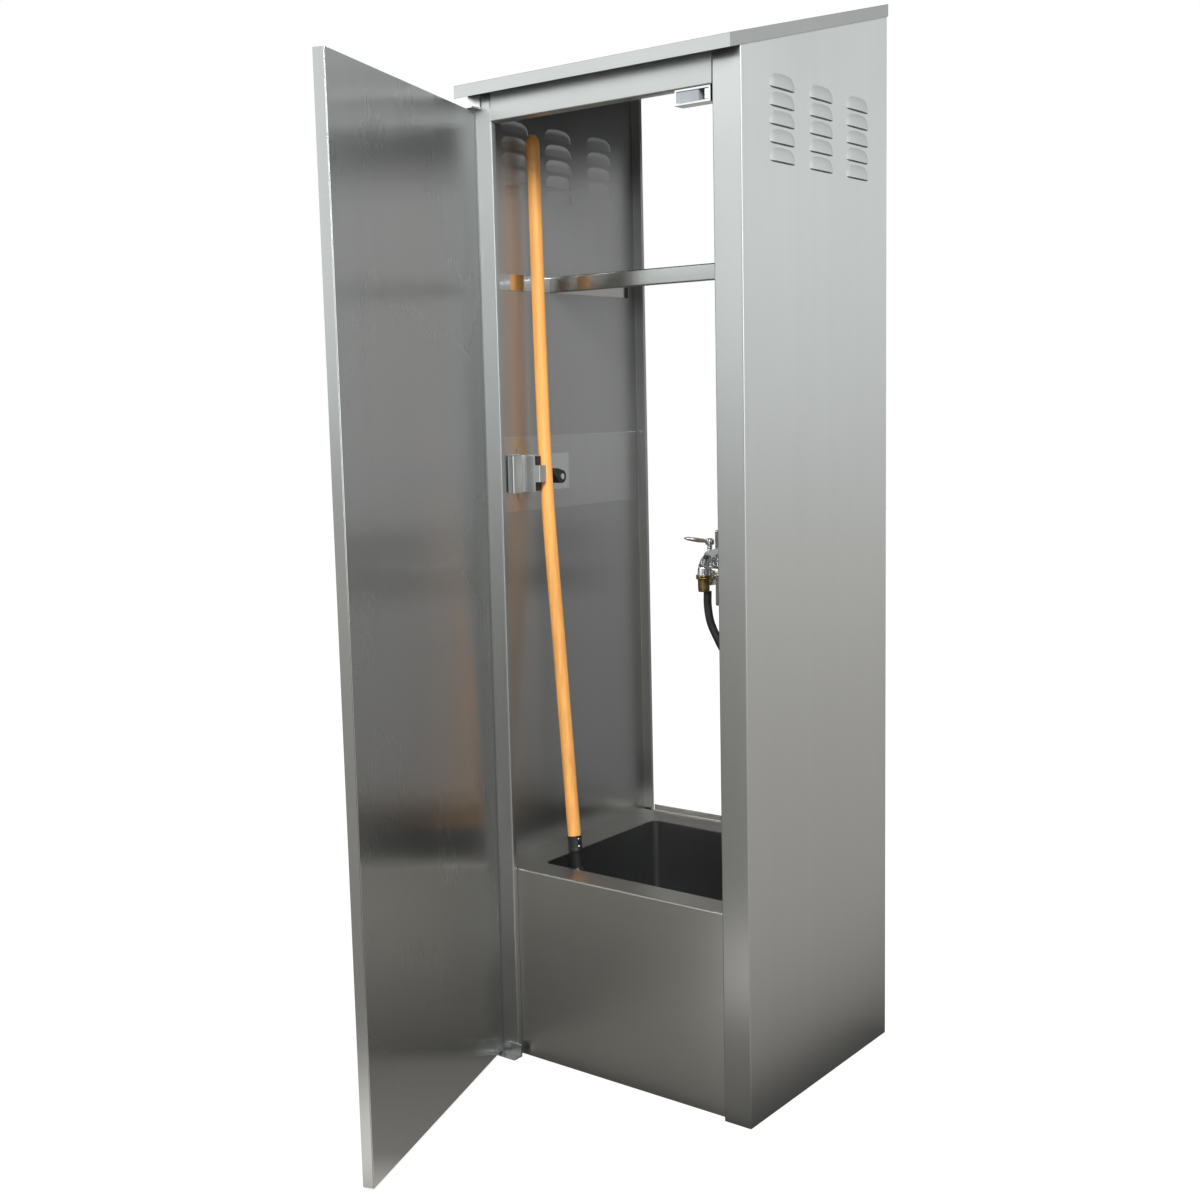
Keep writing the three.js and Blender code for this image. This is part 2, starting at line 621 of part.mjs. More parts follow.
function strainerBasket() {
  const seat = DRAIN_SEAT + DRAIN_FLANGE_THICKNESS + GAP;
  const floor = seat - BASKET_DEPTH;
  const cup = toSolid(turned([
    [0, floor],
    [BASKET_CUP - BASKET_WALL, floor],
    [BASKET_CUP, floor + BASKET_WALL],
    [BASKET_CUP, seat],
    [BASKET_RIM, seat],
    [BASKET_RIM, seat + BASKET_WALL],
    [BASKET_CUP - BASKET_WALL, seat + BASKET_WALL],
    [BASKET_CUP - BASKET_WALL, floor + BASKET_WALL],
    [BASKET_KNOB / 2, floor + BASKET_WALL],
    [BASKET_KNOB / 2, floor + BASKET_KNOB_HEIGHT - BASKET_KNOB],
    [BASKET_KNOB, floor + BASKET_KNOB_HEIGHT - BASKET_KNOB / 2],
    [BASKET_KNOB, floor + BASKET_KNOB_HEIGHT],
    [0, floor + BASKET_KNOB_HEIGHT],
  ]));
  const holes = Array.from({ length: BASKET_HOLES }, (_, i) => {
    const angle = (2 * Math.PI * i) / BASKET_HOLES;
    const reach = (BASKET_CUP + BASKET_KNOB) / 2;
    const drill = rod(BASKET_HOLE, floor - OVERCUT, floor + BASKET_WALL + OVERCUT, 6);
    return toSolid(drill.translate(reach * Math.cos(angle), reach * Math.sin(angle), 0));
  });
  return toGeometry(cut(cup, ...holes)).translate(0, BOWL_MIDDLE, 0);
}

// ---- shelf ----------------------------------------------------------------------------------
function shelf() {
  const outline = foldedSheet([
    [SHELF_FRONT + SHELF_HEM, SHELF_HEIGHT - SHELF_FRONT_LIP],
    [SHELF_FRONT, SHELF_HEIGHT - SHELF_FRONT_LIP],
    [SHELF_FRONT, SHELF_HEIGHT],
    [SHELF_REAR, SHELF_HEIGHT],
    [SHELF_REAR, SHELF_HEIGHT + SHELF_REAR_LIP],
  ], -1);
  const half = INNER_SIDE - SHEET - GAP;
  const lip = SIDE - REAR_FLANGE - SHEET - GAP;
  const corner = block(lip, WIDTH, BACK - FLANGE_LIP - GAP, BACK, 0, REAR_HEIGHT);
  return cut(along(outline, -half, half), corner, corner.mirror([1, 0, 0]));
}

// A wall rail: full depth upright strip, with a ledge under the shelf only.
function shelfRail(hand) {
  const top = SHELF_HEIGHT - SHEET - GAP;
  const low = SHELF_HEIGHT - SHELF_FRONT_LIP;
  const front = FRONT + APRON_SETBACK;
  const rear = BACK - REAR_FLANGE;
  const strip = block(-INNER_SIDE, -INNER_SIDE + SHEET, front, rear, low, SHELF_HEIGHT);
  const ledge = block(-INNER_SIDE, -INNER_SIDE + RAIL_LEG, SHELF_FRONT + SHELF_HEM + GAP, rear, top - SHEET, top);
  const rail = join(strip, ledge);
  return hand < 0 ? rail : rail.mirror([1, 0, 0]);
}

// ---- mop holder -----------------------------------------------------------------------------
const place = ([fromSide, fromFront, height]) => [-SIDE + fromSide, FRONT + fromFront, height];
const GRIP = place(MOP_GRIP);
const CAM_PIVOT_Y = GRIP[1] + MOP_RADIUS + MOP_CLEARANCE
  + CAM_NOSE - CAM_REACH * Math.cos(THREE.MathUtils.degToRad(CAM_NOSE_ANGLE));
const CAM_PIVOT_Z = HOLDER_HEIGHT - CAM_REACH * Math.sin(THREE.MathUtils.degToRad(CAM_NOSE_ANGLE));
const CAM_MIDDLE = GRIP[0];
const GRIP_FACE = GRIP[1] - MOP_RADIUS - MOP_CLEARANCE; // front of the handle
const RETAINER_Y = FRONT + RETAINER_FRONT;

function hangerBand() {
  const rear = BACK - FLANGE_LIP - GAP - SHEET;
  return block(-SIDE + SHEET + GAP, BAND_FACE, FRONT + APRON_SETBACK, rear, BAND_TOP - BAND_HEIGHT, BAND_TOP);
}

function holderPlate() {
  const front = FRONT + HOLDER_BACK_FRONT;
  const low = HOLDER_HEIGHT - HOLDER_BACK_RISE / 2;
  return block(BAND_FACE + GAP, HOLDER_BACK_FACE, front, front + HOLDER_BACK_LENGTH, low, low + HOLDER_BACK_RISE);
}

// One sheet: a box fold at its front end, then flat on the base plate to the plate's rear edge.
function holderBracket() {
  const base = HOLDER_BACK_FACE + GAP;
  const front = FRONT + HOLDER_BOX_FRONT;
  const outline = foldedSheet([
    [base + HOLDER_SHEET, front],
    [base + HOLDER_BOX_DEPTH, front],
    [base + HOLDER_BOX_DEPTH, front + HOLDER_BOX_LENGTH],
    [base + HOLDER_SHEET, front + HOLDER_BOX_LENGTH],
    [base + HOLDER_SHEET, FRONT + HOLDER_BACK_FRONT + HOLDER_BACK_LENGTH],
  ], 1, HOLDER_SHEET);
  const low = HOLDER_HEIGHT - HOLDER_RISE / 2;
  return upright(outline, low, low + HOLDER_RISE);
}

// A full-height flange before the rubber block; its tongue folds back over the block's nose.
function holderRetainer() {
  const tongue = foldedSheet([
    [HOLDER_FACE + GAP, RETAINER_Y],
    [HOLDER_FACE + RETAINER_FACE, RETAINER_Y],
    [HOLDER_FACE + RETAINER_FACE, GRIP_FACE - RETAINER_SHORT],
  ], 1, HOLDER_SHEET);
  const flange = block(HOLDER_FACE + GAP, HOLDER_FACE + RETAINER_FLANGE, RETAINER_Y, RETAINER_Y + HOLDER_SHEET,
    HOLDER_HEIGHT - HOLDER_RISE / 2, HOLDER_HEIGHT + HOLDER_RISE / 2);
  return join(flange, upright(tongue, HOLDER_HEIGHT - RETAINER_RISE / 2, HOLDER_HEIGHT + RETAINER_RISE / 2));
}

function gripBlock() {
  const front = RETAINER_Y + HOLDER_SHEET + GAP;
  const near = HOLDER_FACE + GAP;
  const middle = HOLDER_HEIGHT;
  const back = block(near, HOLDER_FACE + RETAINER_FLANGE, front, front + GRIP_BLOCK_REACH,
    middle - GRIP_BLOCK_RISE / 2, middle + GRIP_BLOCK_RISE / 2);
  const nose = block(near, HOLDER_FACE + RETAINER_FACE - HOLDER_SHEET - BEND, front, GRIP_FACE,
    middle - GRIP_NOSE_RISE / 2, middle + GRIP_NOSE_RISE / 2);
  return join(back, nose);
}

// The cam in its own frame: pivot at the origin, pin along +X, nose up and towards the handle.
function holderCam() {
  const outline = new THREE.Shape();
  const lean = Math.asin((CAM_PIVOT - CAM_NOSE) / CAM_REACH);
  const nose = THREE.MathUtils.degToRad(CAM_NOSE_ANGLE);
  const turn = Math.PI / 2 - lean;
  outline.absarc(0, 0, CAM_PIVOT, nose + turn, nose - turn + 2 * Math.PI);
  outline.absarc(CAM_REACH * Math.cos(nose), CAM_REACH * Math.sin(nose), CAM_NOSE, nose - turn, nose + turn);
  const geometry = extrude(outline, CAM_WIDTH, { curveSegments: 10 });
  const turnUp = new THREE.Matrix4().makeBasis(
    new THREE.Vector3(0, 1, 0), new THREE.Vector3(0, 0, 1), new THREE.Vector3(1, 0, 0));
  const body = toSolid(geometry.applyMatrix4(turnUp).translate(-CAM_WIDTH / 2, 0, 0));
  const bore = toSolid(alongX(rod(CAM_PIN + CAM_RUNNING, -CAM_WIDTH, CAM_WIDTH, SMALL_ROUND)));
  return cut(body, bore);
}

function camPin() {
  const start = HOLDER_FACE + GAP - CAM_MIDDLE;
  const end = CAM_WIDTH / 2 + GAP;
  return alongX(turned([
    [0, start],
    [CAM_PIN_HEAD, start],
    [CAM_PIN_HEAD, -CAM_WIDTH / 2 - GAP],
    [CAM_PIN, -CAM_WIDTH / 2 - GAP],
    [CAM_PIN, end],
    [CAM_PIN_HEAD, end],
    [CAM_PIN_HEAD, end + CAM_PIN_HEAD_HEIGHT / 2],
    [CAM_PIN, end + CAM_PIN_HEAD_HEIGHT],
    [0, end + CAM_PIN_HEAD_HEIGHT],
  ], SMALL_ROUND));
}

function buildMopHolder(parent) {
  piece('hanger_band', hangerBand(), polishedSteel(), parent);
  piece('holder_plate', holderPlate(), polishedSteel(), parent);
  piece('holder_bracket', holderBracket(), polishedSteel(), parent);
  piece('holder_retainer', holderRetainer(), polishedSteel(), parent);
  piece('holder_grip_block', gripBlock(), blackRubber(), parent);
  const pivot = new THREE.Group();
  pivot.position.set(CAM_MIDDLE, CAM_PIVOT_Y, CAM_PIVOT_Z);
  piece('holder_cam_pin', camPin(), chrome(), pivot);
  piece('holder_cam', holderCam(), blackRubber(), pivot);
  parent.add(pivot);
}

// ---- mop ------------------------------------------------------------------------------------
function buildMop(parent) {
  const points = [MOP_FOOT, MOP_MIDDLE, MOP_GRIP, MOP_TOP].map(place);
  piece('mop_handle', tubeAlong(points, MOP_RADIUS, SMALL_ROUND, 12), varnishedWood(), parent);
  const foot = new THREE.Vector3(...points[0]);
  const axis = foot.clone().sub(new THREE.Vector3(...points[1])).normalize();
  const socket = sleeve(MOP_RADIUS + GAP, CLAMP_RADIUS, -CLAMP_SOCKET, GAP, SMALL_ROUND);
  const throat = rod(CLAMP_RADIUS, GAP, CLAMP_LENGTH - CLAMP_SOCKET, SMALL_ROUND);
  const low = CLAMP_LENGTH - CLAMP_SOCKET - CLAMP_JAW_THICKNESS;
  const jaw = new THREE.BoxGeometry(CLAMP_JAW_WIDTH, CLAMP_JAW_THICKNESS * 2, CLAMP_JAW_THICKNESS);
  jaw.translate(0, 0, low + CLAMP_JAW_THICKNESS);
  const clamp = toGeometry(join(toSolid(throat), toSolid(socket), toSolid(jaw))).rotateX(Math.PI);
  const holder = new THREE.Group();
  holder.position.copy(foot);
  holder.quaternion.setFromUnitVectors(new THREE.Vector3(0, 0, -1), axis);
  piece('mop_clamp', clamp, darkPlastic(), holder);
  parent.add(holder);
}

// ---- door -----------------------------------------------------------------------------------
const DOOR_LEFT = -HINGE_IN;
const DOOR_RIGHT = DOOR_WIDTH - HINGE_IN;
const DOOR_INNER = HINGE_BACK;
const DOOR_OUTER = HINGE_BACK - DOOR_THICKNESS;
const BUSH_OUTER = HINGE_PIN + HINGE_RUNNING + BUSH_WALL;

function doorPan() {
  const panBack = DOOR_INNER - SHEET - GAP;
  const tray = block(DOOR_LEFT, DOOR_RIGHT, DOOR_OUTER, panBack, DOOR_BOTTOM, DOOR_TOP);
  const hollow = block(DOOR_LEFT + SHEET, DOOR_RIGHT - SHEET, DOOR_OUTER + SHEET, panBack + OVERCUT,
    DOOR_BOTTOM + SHEET, DOOR_TOP - SHEET);
  const bores = toSolid(rod(BUSH_OUTER + GAP, DOOR_BOTTOM - OVERCUT, DOOR_TOP + OVERCUT, SMALL_ROUND));
  return cut(tray, hollow, bores);
}

function doorStiffener() {
  const rear = DOOR_INNER - SHEET - 2 * GAP;
  const front = DOOR_OUTER + 2 * SHEET + GAP;
  const middle = DOOR_WIDTH / 2 - HINGE_IN;
  const half = DOOR_STIFFENER_WIDTH / 2;
  const wing = half + DOOR_STIFFENER_FLANGE;
  const outline = foldedSheet([
    [middle - wing, rear],
    [middle - half, rear],
    [middle - half, front],
    [middle + half, front],
    [middle + half, rear],
    [middle + wing, rear],
  ], -1);
  return upright(outline, DOOR_BOTTOM + DOOR_STIFFENER_END, DOOR_TOP - DOOR_STIFFENER_END);
}

// A flanged bush in the door's lower edge, or the upper one when hand is 1.
function doorBush(hand) {
  const bore = HINGE_PIN + HINGE_RUNNING;
  const reach = HINGE_PIN_REACH;
  const bush = turned([
    [bore, -BUSH_FLANGE_THICKNESS - GAP],
    [BUSH_FLANGE, -BUSH_FLANGE_THICKNESS - GAP],
    [BUSH_FLANGE, -GAP],
    [BUSH_OUTER, -GAP],
    [BUSH_OUTER, reach],
    [bore, reach],
    [bore, -BUSH_FLANGE_THICKNESS - GAP],
  ], SMALL_ROUND);
  if (hand > 0) bush.rotateX(Math.PI);
  return bush.translate(0, 0, hand > 0 ? DOOR_TOP : DOOR_BOTTOM);
}

function buildDoor(parent) {
  const swing = new THREE.Group();
  swing.position.set(HINGE_X, HINGE_Y, 0);
  swing.rotation.z = -THREE.MathUtils.degToRad(DOOR_OPEN_ANGLE);
  piece('door_pan', doorPan(), brushedSteel(), swing);
  const liner = block(DOOR_LEFT, DOOR_RIGHT, DOOR_INNER - SHEET, DOOR_INNER, DOOR_BOTTOM, DOOR_TOP);
  piece('door_liner', liner, brushedSteel(), swing);
  piece('door_stiffener', doorStiffener(), brushedSteel(), swing);
  piece('door_bush_bottom', doorBush(-1), brass(), swing);
  piece('door_bush_top', doorBush(1), brass(), swing);
  parent.add(swing);
}

// The bracket of one hinge: a plate on the stile face and a leaf that carries the pin.
function hingeBracket(hand) {
  const left = -SIDE + SHEET;
  const plateLeft = hand > 0 ? left : left + HINGE_PLATE_SHIFT;
  const right = plateLeft + HINGE_PLATE_WIDTH;
  const edge = hand > 0 ? DOOR_TOP : DOOR_BOTTOM;
  const near = edge + hand * (HINGE_EDGE_CLEARANCE + BUSH_FLANGE_THICKNESS);
  const low = Math.min(near, near + hand * HINGE_PLATE);
  const leaf = block(left, right, HINGE_Y - HINGE_BACK, FRONT - GAP, low, low + HINGE_PLATE);
  const plate = block(plateLeft, right, FRONT - GAP - HINGE_PLATE, FRONT - GAP, low, low + HINGE_PLATE_RISE);
  const drill = rod(HINGE_PIN + GAP, low - OVERCUT, low + HINGE_PLATE + OVERCUT, SMALL_ROUND);
  return cut(join(leaf, plate), toSolid(drill.translate(HINGE_X, HINGE_Y, 0)));
}

// ---- door catch -----------------------------------------------------------------------------
const CATCH_RIGHT = SIDE - STILE_WIDTH - CATCH_SIDE_GAP;
const CATCH_LEFT = CATCH_RIGHT - CATCH_WIDTH;
const CATCH_TOP = HEADER_LOW - GAP;

function catchFrame() {
  const low = CATCH_TOP - CATCH_HEIGHT;
  const frame = block(CATCH_LEFT, CATCH_RIGHT, FRONT, FRONT + CATCH_DEPTH, low, CATCH_TOP);
  const window = block(CATCH_LEFT + CATCH_BORDER, CATCH_RIGHT - CATCH_BORDER, FRONT - OVERCUT,
    FRONT + CATCH_DEPTH - CATCH_BORDER, low + CATCH_BORDER, CATCH_TOP - CATCH_BORDER);
  return cut(frame, window);
}

function buildCatch(parent) {
  piece('catch_frame', catchFrame(), polishedSteel(), parent);
  const low = CATCH_TOP - CATCH_HEIGHT + CATCH_BORDER + GAP;
  const high = CATCH_TOP - CATCH_BORDER - GAP;
  const left = CATCH_LEFT + CATCH_BORDER + GAP;
  const rear = FRONT + CATCH_DEPTH - CATCH_BORDER - GAP;
  piece('catch_magnet', block(left, left + CATCH_MAGNET_SHARE, FRONT + CATCH_RECESS, rear, low, high),
    greyPlastic(), parent);
  const right = CATCH_RIGHT - CATCH_BORDER - GAP;
  piece('catch_bumper', block(right - CATCH_BUMPER, right, FRONT + CATCH_RECESS, rear, low, high),
    palePlastic(), parent);
}

// ---- faucet ---------------------------------------------------------------------------------
function faucetBracket() {
  const rear = BACK - SHEET - GAP;
  const low = FAUCET_HEIGHT - FAUCET_BRACKET_HEIGHT / 2;
  const outline = foldedSheet([
    [rear, low],
    [FAUCET_PLATE_FACE, low],
    [FAUCET_PLATE_FACE, low + FAUCET_BRACKET_HEIGHT],
    [rear, low + FAUCET_BRACKET_HEIGHT],
  ], -1);
  const lip = SIDE - REAR_FLANGE - SHEET - GAP;
  const corner = block(lip, WIDTH, BACK - FLANGE_LIP - GAP, BACK, 0, REAR_HEIGHT);
  return cut(along(outline, FAUCET_BRACKET_LEFT, INNER_SIDE), corner);
}

// The casting in its own frame: valve axes at the sides, +Z up, the bracket at +Y.
function faucetCasting() {
  const half = FAUCET_CENTRES / 2;
  const toPlate = FAUCET_STANDOFF - GAP - INLET_FLANGE_THICKNESS - GAP;
  const valve = () => turned([
    [0, -VALVE_LOW],
    [VALVE_RADIUS * 0.55, -VALVE_LOW],
    [VALVE_RADIUS, -VALVE_LOW * 0.6],
    [VALVE_RADIUS, VALVE_HIGH * 0.6],
    [BONNET_RADIUS, VALVE_HIGH],
    [0, VALVE_HIGH],
  ]);
  const shank = () => alongY(rod(INLET_SHANK, -toPlate, 0));
  const bar = toSolid(alongX(rod(BODY_BAR, -half, half)));
  const neck = toSolid(rod(BODY_BAR, 0, SPOUT_RISE - SPOUT_RADIUS - GAP));
  const sides = [-half, half].map((x) => join(toSolid(valve().translate(x, 0, 0)), toSolid(shank().translate(x, 0, 0))));
  return join(bar, neck, ...sides);
}

function spoutAssembly() {
  const reach = FAUCET_Y - SPOUT_END_Y;
  const run = toSolid(tubeAlong([
    [0, 0, SPOUT_RISE],
    [0, -reach * 0.45, SPOUT_RISE],
    [0, -reach * 0.8, SPOUT_RISE - 1],
    [0, -reach * 0.97, SPOUT_RISE * 0.82],
    [0, -reach, SPOUT_RISE * 0.55],
  ], SPOUT_RADIUS, SMALL_ROUND, 13));
  const tip = toSolid(turned([
    [0, SPOUT_END_LEVEL],
    [SPOUT_COLLAR, SPOUT_END_LEVEL],
    [SPOUT_COLLAR, SPOUT_END_LEVEL + SPOUT_COLLAR_HEIGHT],
    [SPOUT_END_RADIUS, SPOUT_END_LEVEL + SPOUT_COLLAR_HEIGHT],
    [SPOUT_RADIUS * 0.9, SPOUT_RISE * 0.62],
    [0, SPOUT_RISE * 0.62],
  ]).translate(0, -reach, 0));
  const socket = toSolid(rod(BODY_BAR, SPOUT_RISE - SPOUT_RADIUS, SPOUT_RISE + SPOUT_RADIUS));
  return join(run, tip, socket);
}

function vacuumBreaker() {
  const low = SPOUT_RISE + SPOUT_RADIUS + GAP;
  return turned([
    [0, low],
    [BODY_BAR, low],
    [BREAKER_RADIUS, low + BREAKER_HEIGHT * 0.25],
    [BREAKER_RADIUS, low + BREAKER_HEIGHT * 0.7],
    [BREAKER_RADIUS * 0.8, low + BREAKER_HEIGHT * 0.92],
    [BREAKER_RADIUS * 0.45, low + BREAKER_HEIGHT],
    [0, low + BREAKER_HEIGHT],
  ]);
}

function lever(hand) {
  const low = -LEVER_HUB_HEIGHT / 2;
  const blade = new THREE.Shape();
  blade.moveTo(0, -LEVER_BLADE_WIDTH / 2);
  blade.quadraticCurveTo(LEVER_LENGTH * 0.7, -LEVER_BLADE_WIDTH * 0.6, LEVER_LENGTH, 0);
  blade.quadraticCurveTo(LEVER_LENGTH * 0.7, LEVER_BLADE_WIDTH * 0.6, 0, LEVER_BLADE_WIDTH / 2);
  const arm = toSolid(extrude(blade, LEVER_BLADE_THICKNESS).translate(0, 0, low + LEVER_BLADE_THICKNESS / 2));
  const hub = toSolid(turned([
    [0, low],
    [LEVER_HUB * 0.8, low],
    [LEVER_HUB, low + LEVER_HUB * 0.3],
    [LEVER_HUB, -low - LEVER_HUB * 0.3],
    [LEVER_HUB * 0.6, -low],
    [0, -low],
  ]));
  const stem = toSolid(rod(STEM_RADIUS, low - STEM_HEIGHT, 0, SMALL_ROUND));
  const whole = join(arm, hub, stem);
  return hand > 0 ? whole : whole.rotate([0, 0, 180]);
}

const BONNET_LOW = VALVE_HIGH + GAP;
const STEM_LOW = BONNET_LOW + BONNET_HEIGHT + GAP;
const LEVER_LEVEL = STEM_LOW + STEM_HEIGHT + LEVER_HUB_HEIGHT / 2;

const bonnet = () => turned([
  [0, BONNET_LOW],
  [BONNET_RADIUS, BONNET_LOW],
  [BONNET_RADIUS, BONNET_LOW + BONNET_HEIGHT * 0.45],
  [BONNET_RADIUS * 0.72, BONNET_LOW + BONNET_HEIGHT * 0.62],
  [BONNET_RADIUS * 0.62, BONNET_LOW + BONNET_HEIGHT],
  [0, BONNET_LOW + BONNET_HEIGHT],
]);

function brace() {
  const top = SPOUT_RISE + SPOUT_RADIUS;
  const clip = SPOUT_RADIUS + BRACE_RADIUS;
  const wall = FAUCET_STANDOFF - GAP;
  const path = [
    [0, wall - BRACE_FLANGE_THICKNESS / 2, BRACE_RISE + top],
    [0, wall - FAUCET_STANDOFF * 1.3, BRACE_RISE + top],
    [0, -FAUCET_STANDOFF * 1.05, BRACE_RISE * 0.7 + top],
    [0, -FAUCET_STANDOFF * 1.3, top + BRACE_RADIUS * 0.5],
  ];
  const strap = toSolid(tubeAlong(path, BRACE_RADIUS, 8, 10));
  const flange = toSolid(alongY(rod(BRACE_FLANGE, -BRACE_FLANGE_THICKNESS, 0)).translate(0, wall - BRACE_FLANGE_THICKNESS, BRACE_RISE + top));
  const ring = toSolid(alongY(sleeve(SPOUT_RADIUS + GAP, clip, -BRACE_RADIUS, BRACE_RADIUS))
    .translate(0, -FAUCET_STANDOFF * 1.3, SPOUT_RISE));
  return cut(join(strap, flange, ring), toSolid(alongY(rod(SPOUT_RADIUS + GAP, -BRACE_RADIUS * 2, BRACE_RADIUS * 2))
    .translate(0, -FAUCET_STANDOFF * 1.3, SPOUT_RISE)));
}

function buildFaucet(parent) {
  piece('faucet_bracket', faucetBracket(), brushedSteel(), parent);
  const faucet = new THREE.Group();
  faucet.position.set(FAUCET_X, FAUCET_Y, FAUCET_HEIGHT);
  piece('faucet_body', faucetCasting(), chrome(), faucet);
  piece('faucet_spout', spoutAssembly(), chrome(), faucet);
  piece('vacuum_breaker', vacuumBreaker(), chrome(), faucet);
  for (const [side, name] of [[-1, 'left'], [1, 'right']]) {
    const x = side * FAUCET_CENTRES / 2;
    const face = FAUCET_STANDOFF - GAP;
    const flange = alongY(turned([
      [0, -face],
      [INLET_FLANGE, -face],
      [INLET_FLANGE, -face + INLET_FLANGE_THICKNESS * 0.4],
      [INLET_SHANK, -face + INLET_FLANGE_THICKNESS],
      [0, -face + INLET_FLANGE_THICKNESS],
    ]));
    piece(`inlet_flange_${name}`, flange.translate(x, 0, 0), chrome(), faucet);
    piece(`bonnet_${name}`, bonnet().translate(x, 0, 0), chrome(), faucet);
    piece(`lever_${name}`, toGeometry(lever(side)).translate(x, 0, LEVER_LEVEL), chrome(), faucet);
  }
  piece('spout_brace', brace(), chrome(), faucet);
  const outlet = FAUCET_HEIGHT + SPOUT_END_LEVEL - GAP;
  const coupling = turned([
    [0, outlet - COUPLING_LENGTH],
    [COUPLING_RADIUS * 0.9, outlet - COUPLING_LENGTH],
    [COUPLING_RADIUS, outlet - COUPLING_LENGTH * 0.7],
    [COUPLING_RADIUS, outlet],
    [0, outlet],
  ]);
  piece('hose_coupling', coupling.translate(FAUCET_X, SPOUT_END_Y, 0), brass(), parent);
  parent.add(faucet);
}

// ---- assembly -------------------------------------------------------------------------------
function buildCabinet(parent) {
  piece('side_panel_left', sidePanel(-1), brushedSteel(), parent);
  piece('side_panel_right', sidePanel(1), brushedSteel(), parent);
  piece('top_cap', topCap(), brushedSteel(), parent);
  piece('header_rail', headerRail(), brushedSteel(), parent);
  piece('rear_rail_bottom', rearRail(0, REAR_RAIL_HEIGHT), brushedSteel(), parent);
  const railTop = REAR_HEIGHT - REAR_RAIL_TOP_DROP;
  piece('rear_rail_top', rearRail(railTop - REAR_RAIL_HEIGHT, railTop), brushedSteel(), parent);
  piece('shelf', shelf(), polishedSteel(), parent);
  piece('shelf_rail_left', shelfRail(-1), polishedSteel(), parent);
  piece('shelf_rail_right', shelfRail(1), polishedSteel(), parent);
}

function buildSink(parent) {
  piece('sink_deck', sinkDeck(), brushedSteel(), parent);
  piece('sink_bowl', sinkBowl(), brushedSteel(), parent);
  piece('deck_bracket_left', deckBracket(-1), brushedSteel(), parent);
  piece('deck_bracket_right', deckBracket(1), brushedSteel(), parent);
  buildDrain(parent);
  piece('strainer_basket', strainerBasket(), chrome(), parent);
}

function buildHinges(parent) {
  for (const [hand, name] of [[-1, 'bottom'], [1, 'top']]) {
    piece(`hinge_bracket_${name}`, hingeBracket(hand), polishedSteel(), parent);
    const edge = hand > 0 ? DOOR_TOP : DOOR_BOTTOM;
    const outside = edge + hand * (HINGE_EDGE_CLEARANCE + BUSH_FLANGE_THICKNESS + HINGE_PLATE);
    const inside = edge - hand * (HINGE_PIN_REACH - 1);
    const pin = rod(HINGE_PIN, Math.min(outside, inside), Math.max(outside, inside), SMALL_ROUND);
    piece(`hinge_pin_${name}`, pin.translate(HINGE_X, HINGE_Y, 0), chrome(), parent);
  }
}

const cabinet = new THREE.Group();
buildCabinet(cabinet);
buildSink(cabinet);
buildMopHolder(cabinet);
buildMop(cabinet);
buildHinges(cabinet);
buildDoor(cabinet);
buildCatch(cabinet);
buildFaucet(cabinet);
piece('hose', tubeAlong(HOSE_ROUTE, HOSE_RADIUS, 10, 28), blackRubber(), cabinet);

export default cabinet;
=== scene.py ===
"""Looks of the mop service sink cabinet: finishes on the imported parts, and the pieces that need
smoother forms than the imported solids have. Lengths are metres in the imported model's frame."""
import json
import math

import bmesh
import bpy
import numpy as np
from bpy.props import FloatProperty, FloatVectorProperty, IntProperty, PointerProperty
from mathutils import Matrix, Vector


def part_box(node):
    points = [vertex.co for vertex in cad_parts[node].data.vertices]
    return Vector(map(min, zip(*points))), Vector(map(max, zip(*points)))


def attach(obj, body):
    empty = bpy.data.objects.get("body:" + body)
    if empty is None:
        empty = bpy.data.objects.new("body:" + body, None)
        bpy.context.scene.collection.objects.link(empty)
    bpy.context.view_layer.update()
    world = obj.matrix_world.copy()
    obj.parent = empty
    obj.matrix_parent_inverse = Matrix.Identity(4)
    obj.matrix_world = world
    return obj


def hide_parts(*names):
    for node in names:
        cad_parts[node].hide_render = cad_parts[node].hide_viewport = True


bl_info = {
    "name": "Mop service sink cabinet",
    "version": (1, 0, 0),
    "blender": (4, 5, 0),
    "location": "View3D > Sidebar > Service sink",
    "description": "Builds the finishes and fine pieces of a mop service sink cabinet",
    "category": "Object",
}

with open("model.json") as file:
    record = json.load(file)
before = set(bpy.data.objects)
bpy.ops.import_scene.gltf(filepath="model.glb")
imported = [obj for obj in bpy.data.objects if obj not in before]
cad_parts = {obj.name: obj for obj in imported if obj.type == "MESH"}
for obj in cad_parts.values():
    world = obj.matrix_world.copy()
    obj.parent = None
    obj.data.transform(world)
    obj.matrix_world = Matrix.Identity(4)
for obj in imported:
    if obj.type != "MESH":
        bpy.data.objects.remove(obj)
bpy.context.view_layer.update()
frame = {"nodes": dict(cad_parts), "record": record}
BODY_OF = {
    node: body for body, nodes in frame["record"]["behaviour"]["bodies"].items() for node in nodes}


# ---- places and forms, the routes and louvres as in the part's source ----------------------

MM = 0.001
HANDS = ((-1, "left"), (1, "right"))
GRAIN_AXES = {"X": (1, 0, 0), "Z": (0, 0, 1)}

# The hose's centreline, from the coupling down into the bowl.
HOSE_ROUTE = MM * np.array([
    (30, -223, 970.4), (30, -223, 940), (36, -222, 905), (54, -219, 866), (80, -214, 818),
    (101, -210, 756), (112, -207, 686), (115, -206, 600), (113, -207, 510), (109, -209, 420),
    (107, -210, 330), (107, -210, 234),
])

# The mop handle's axis, from its clamp to its tip.
HANDLE_ROUTE = MM * np.array([
    (-205, -391, 447), (-249.5, -372, 860), (-278, -366, 1216), (-289, -368, 1908),
])

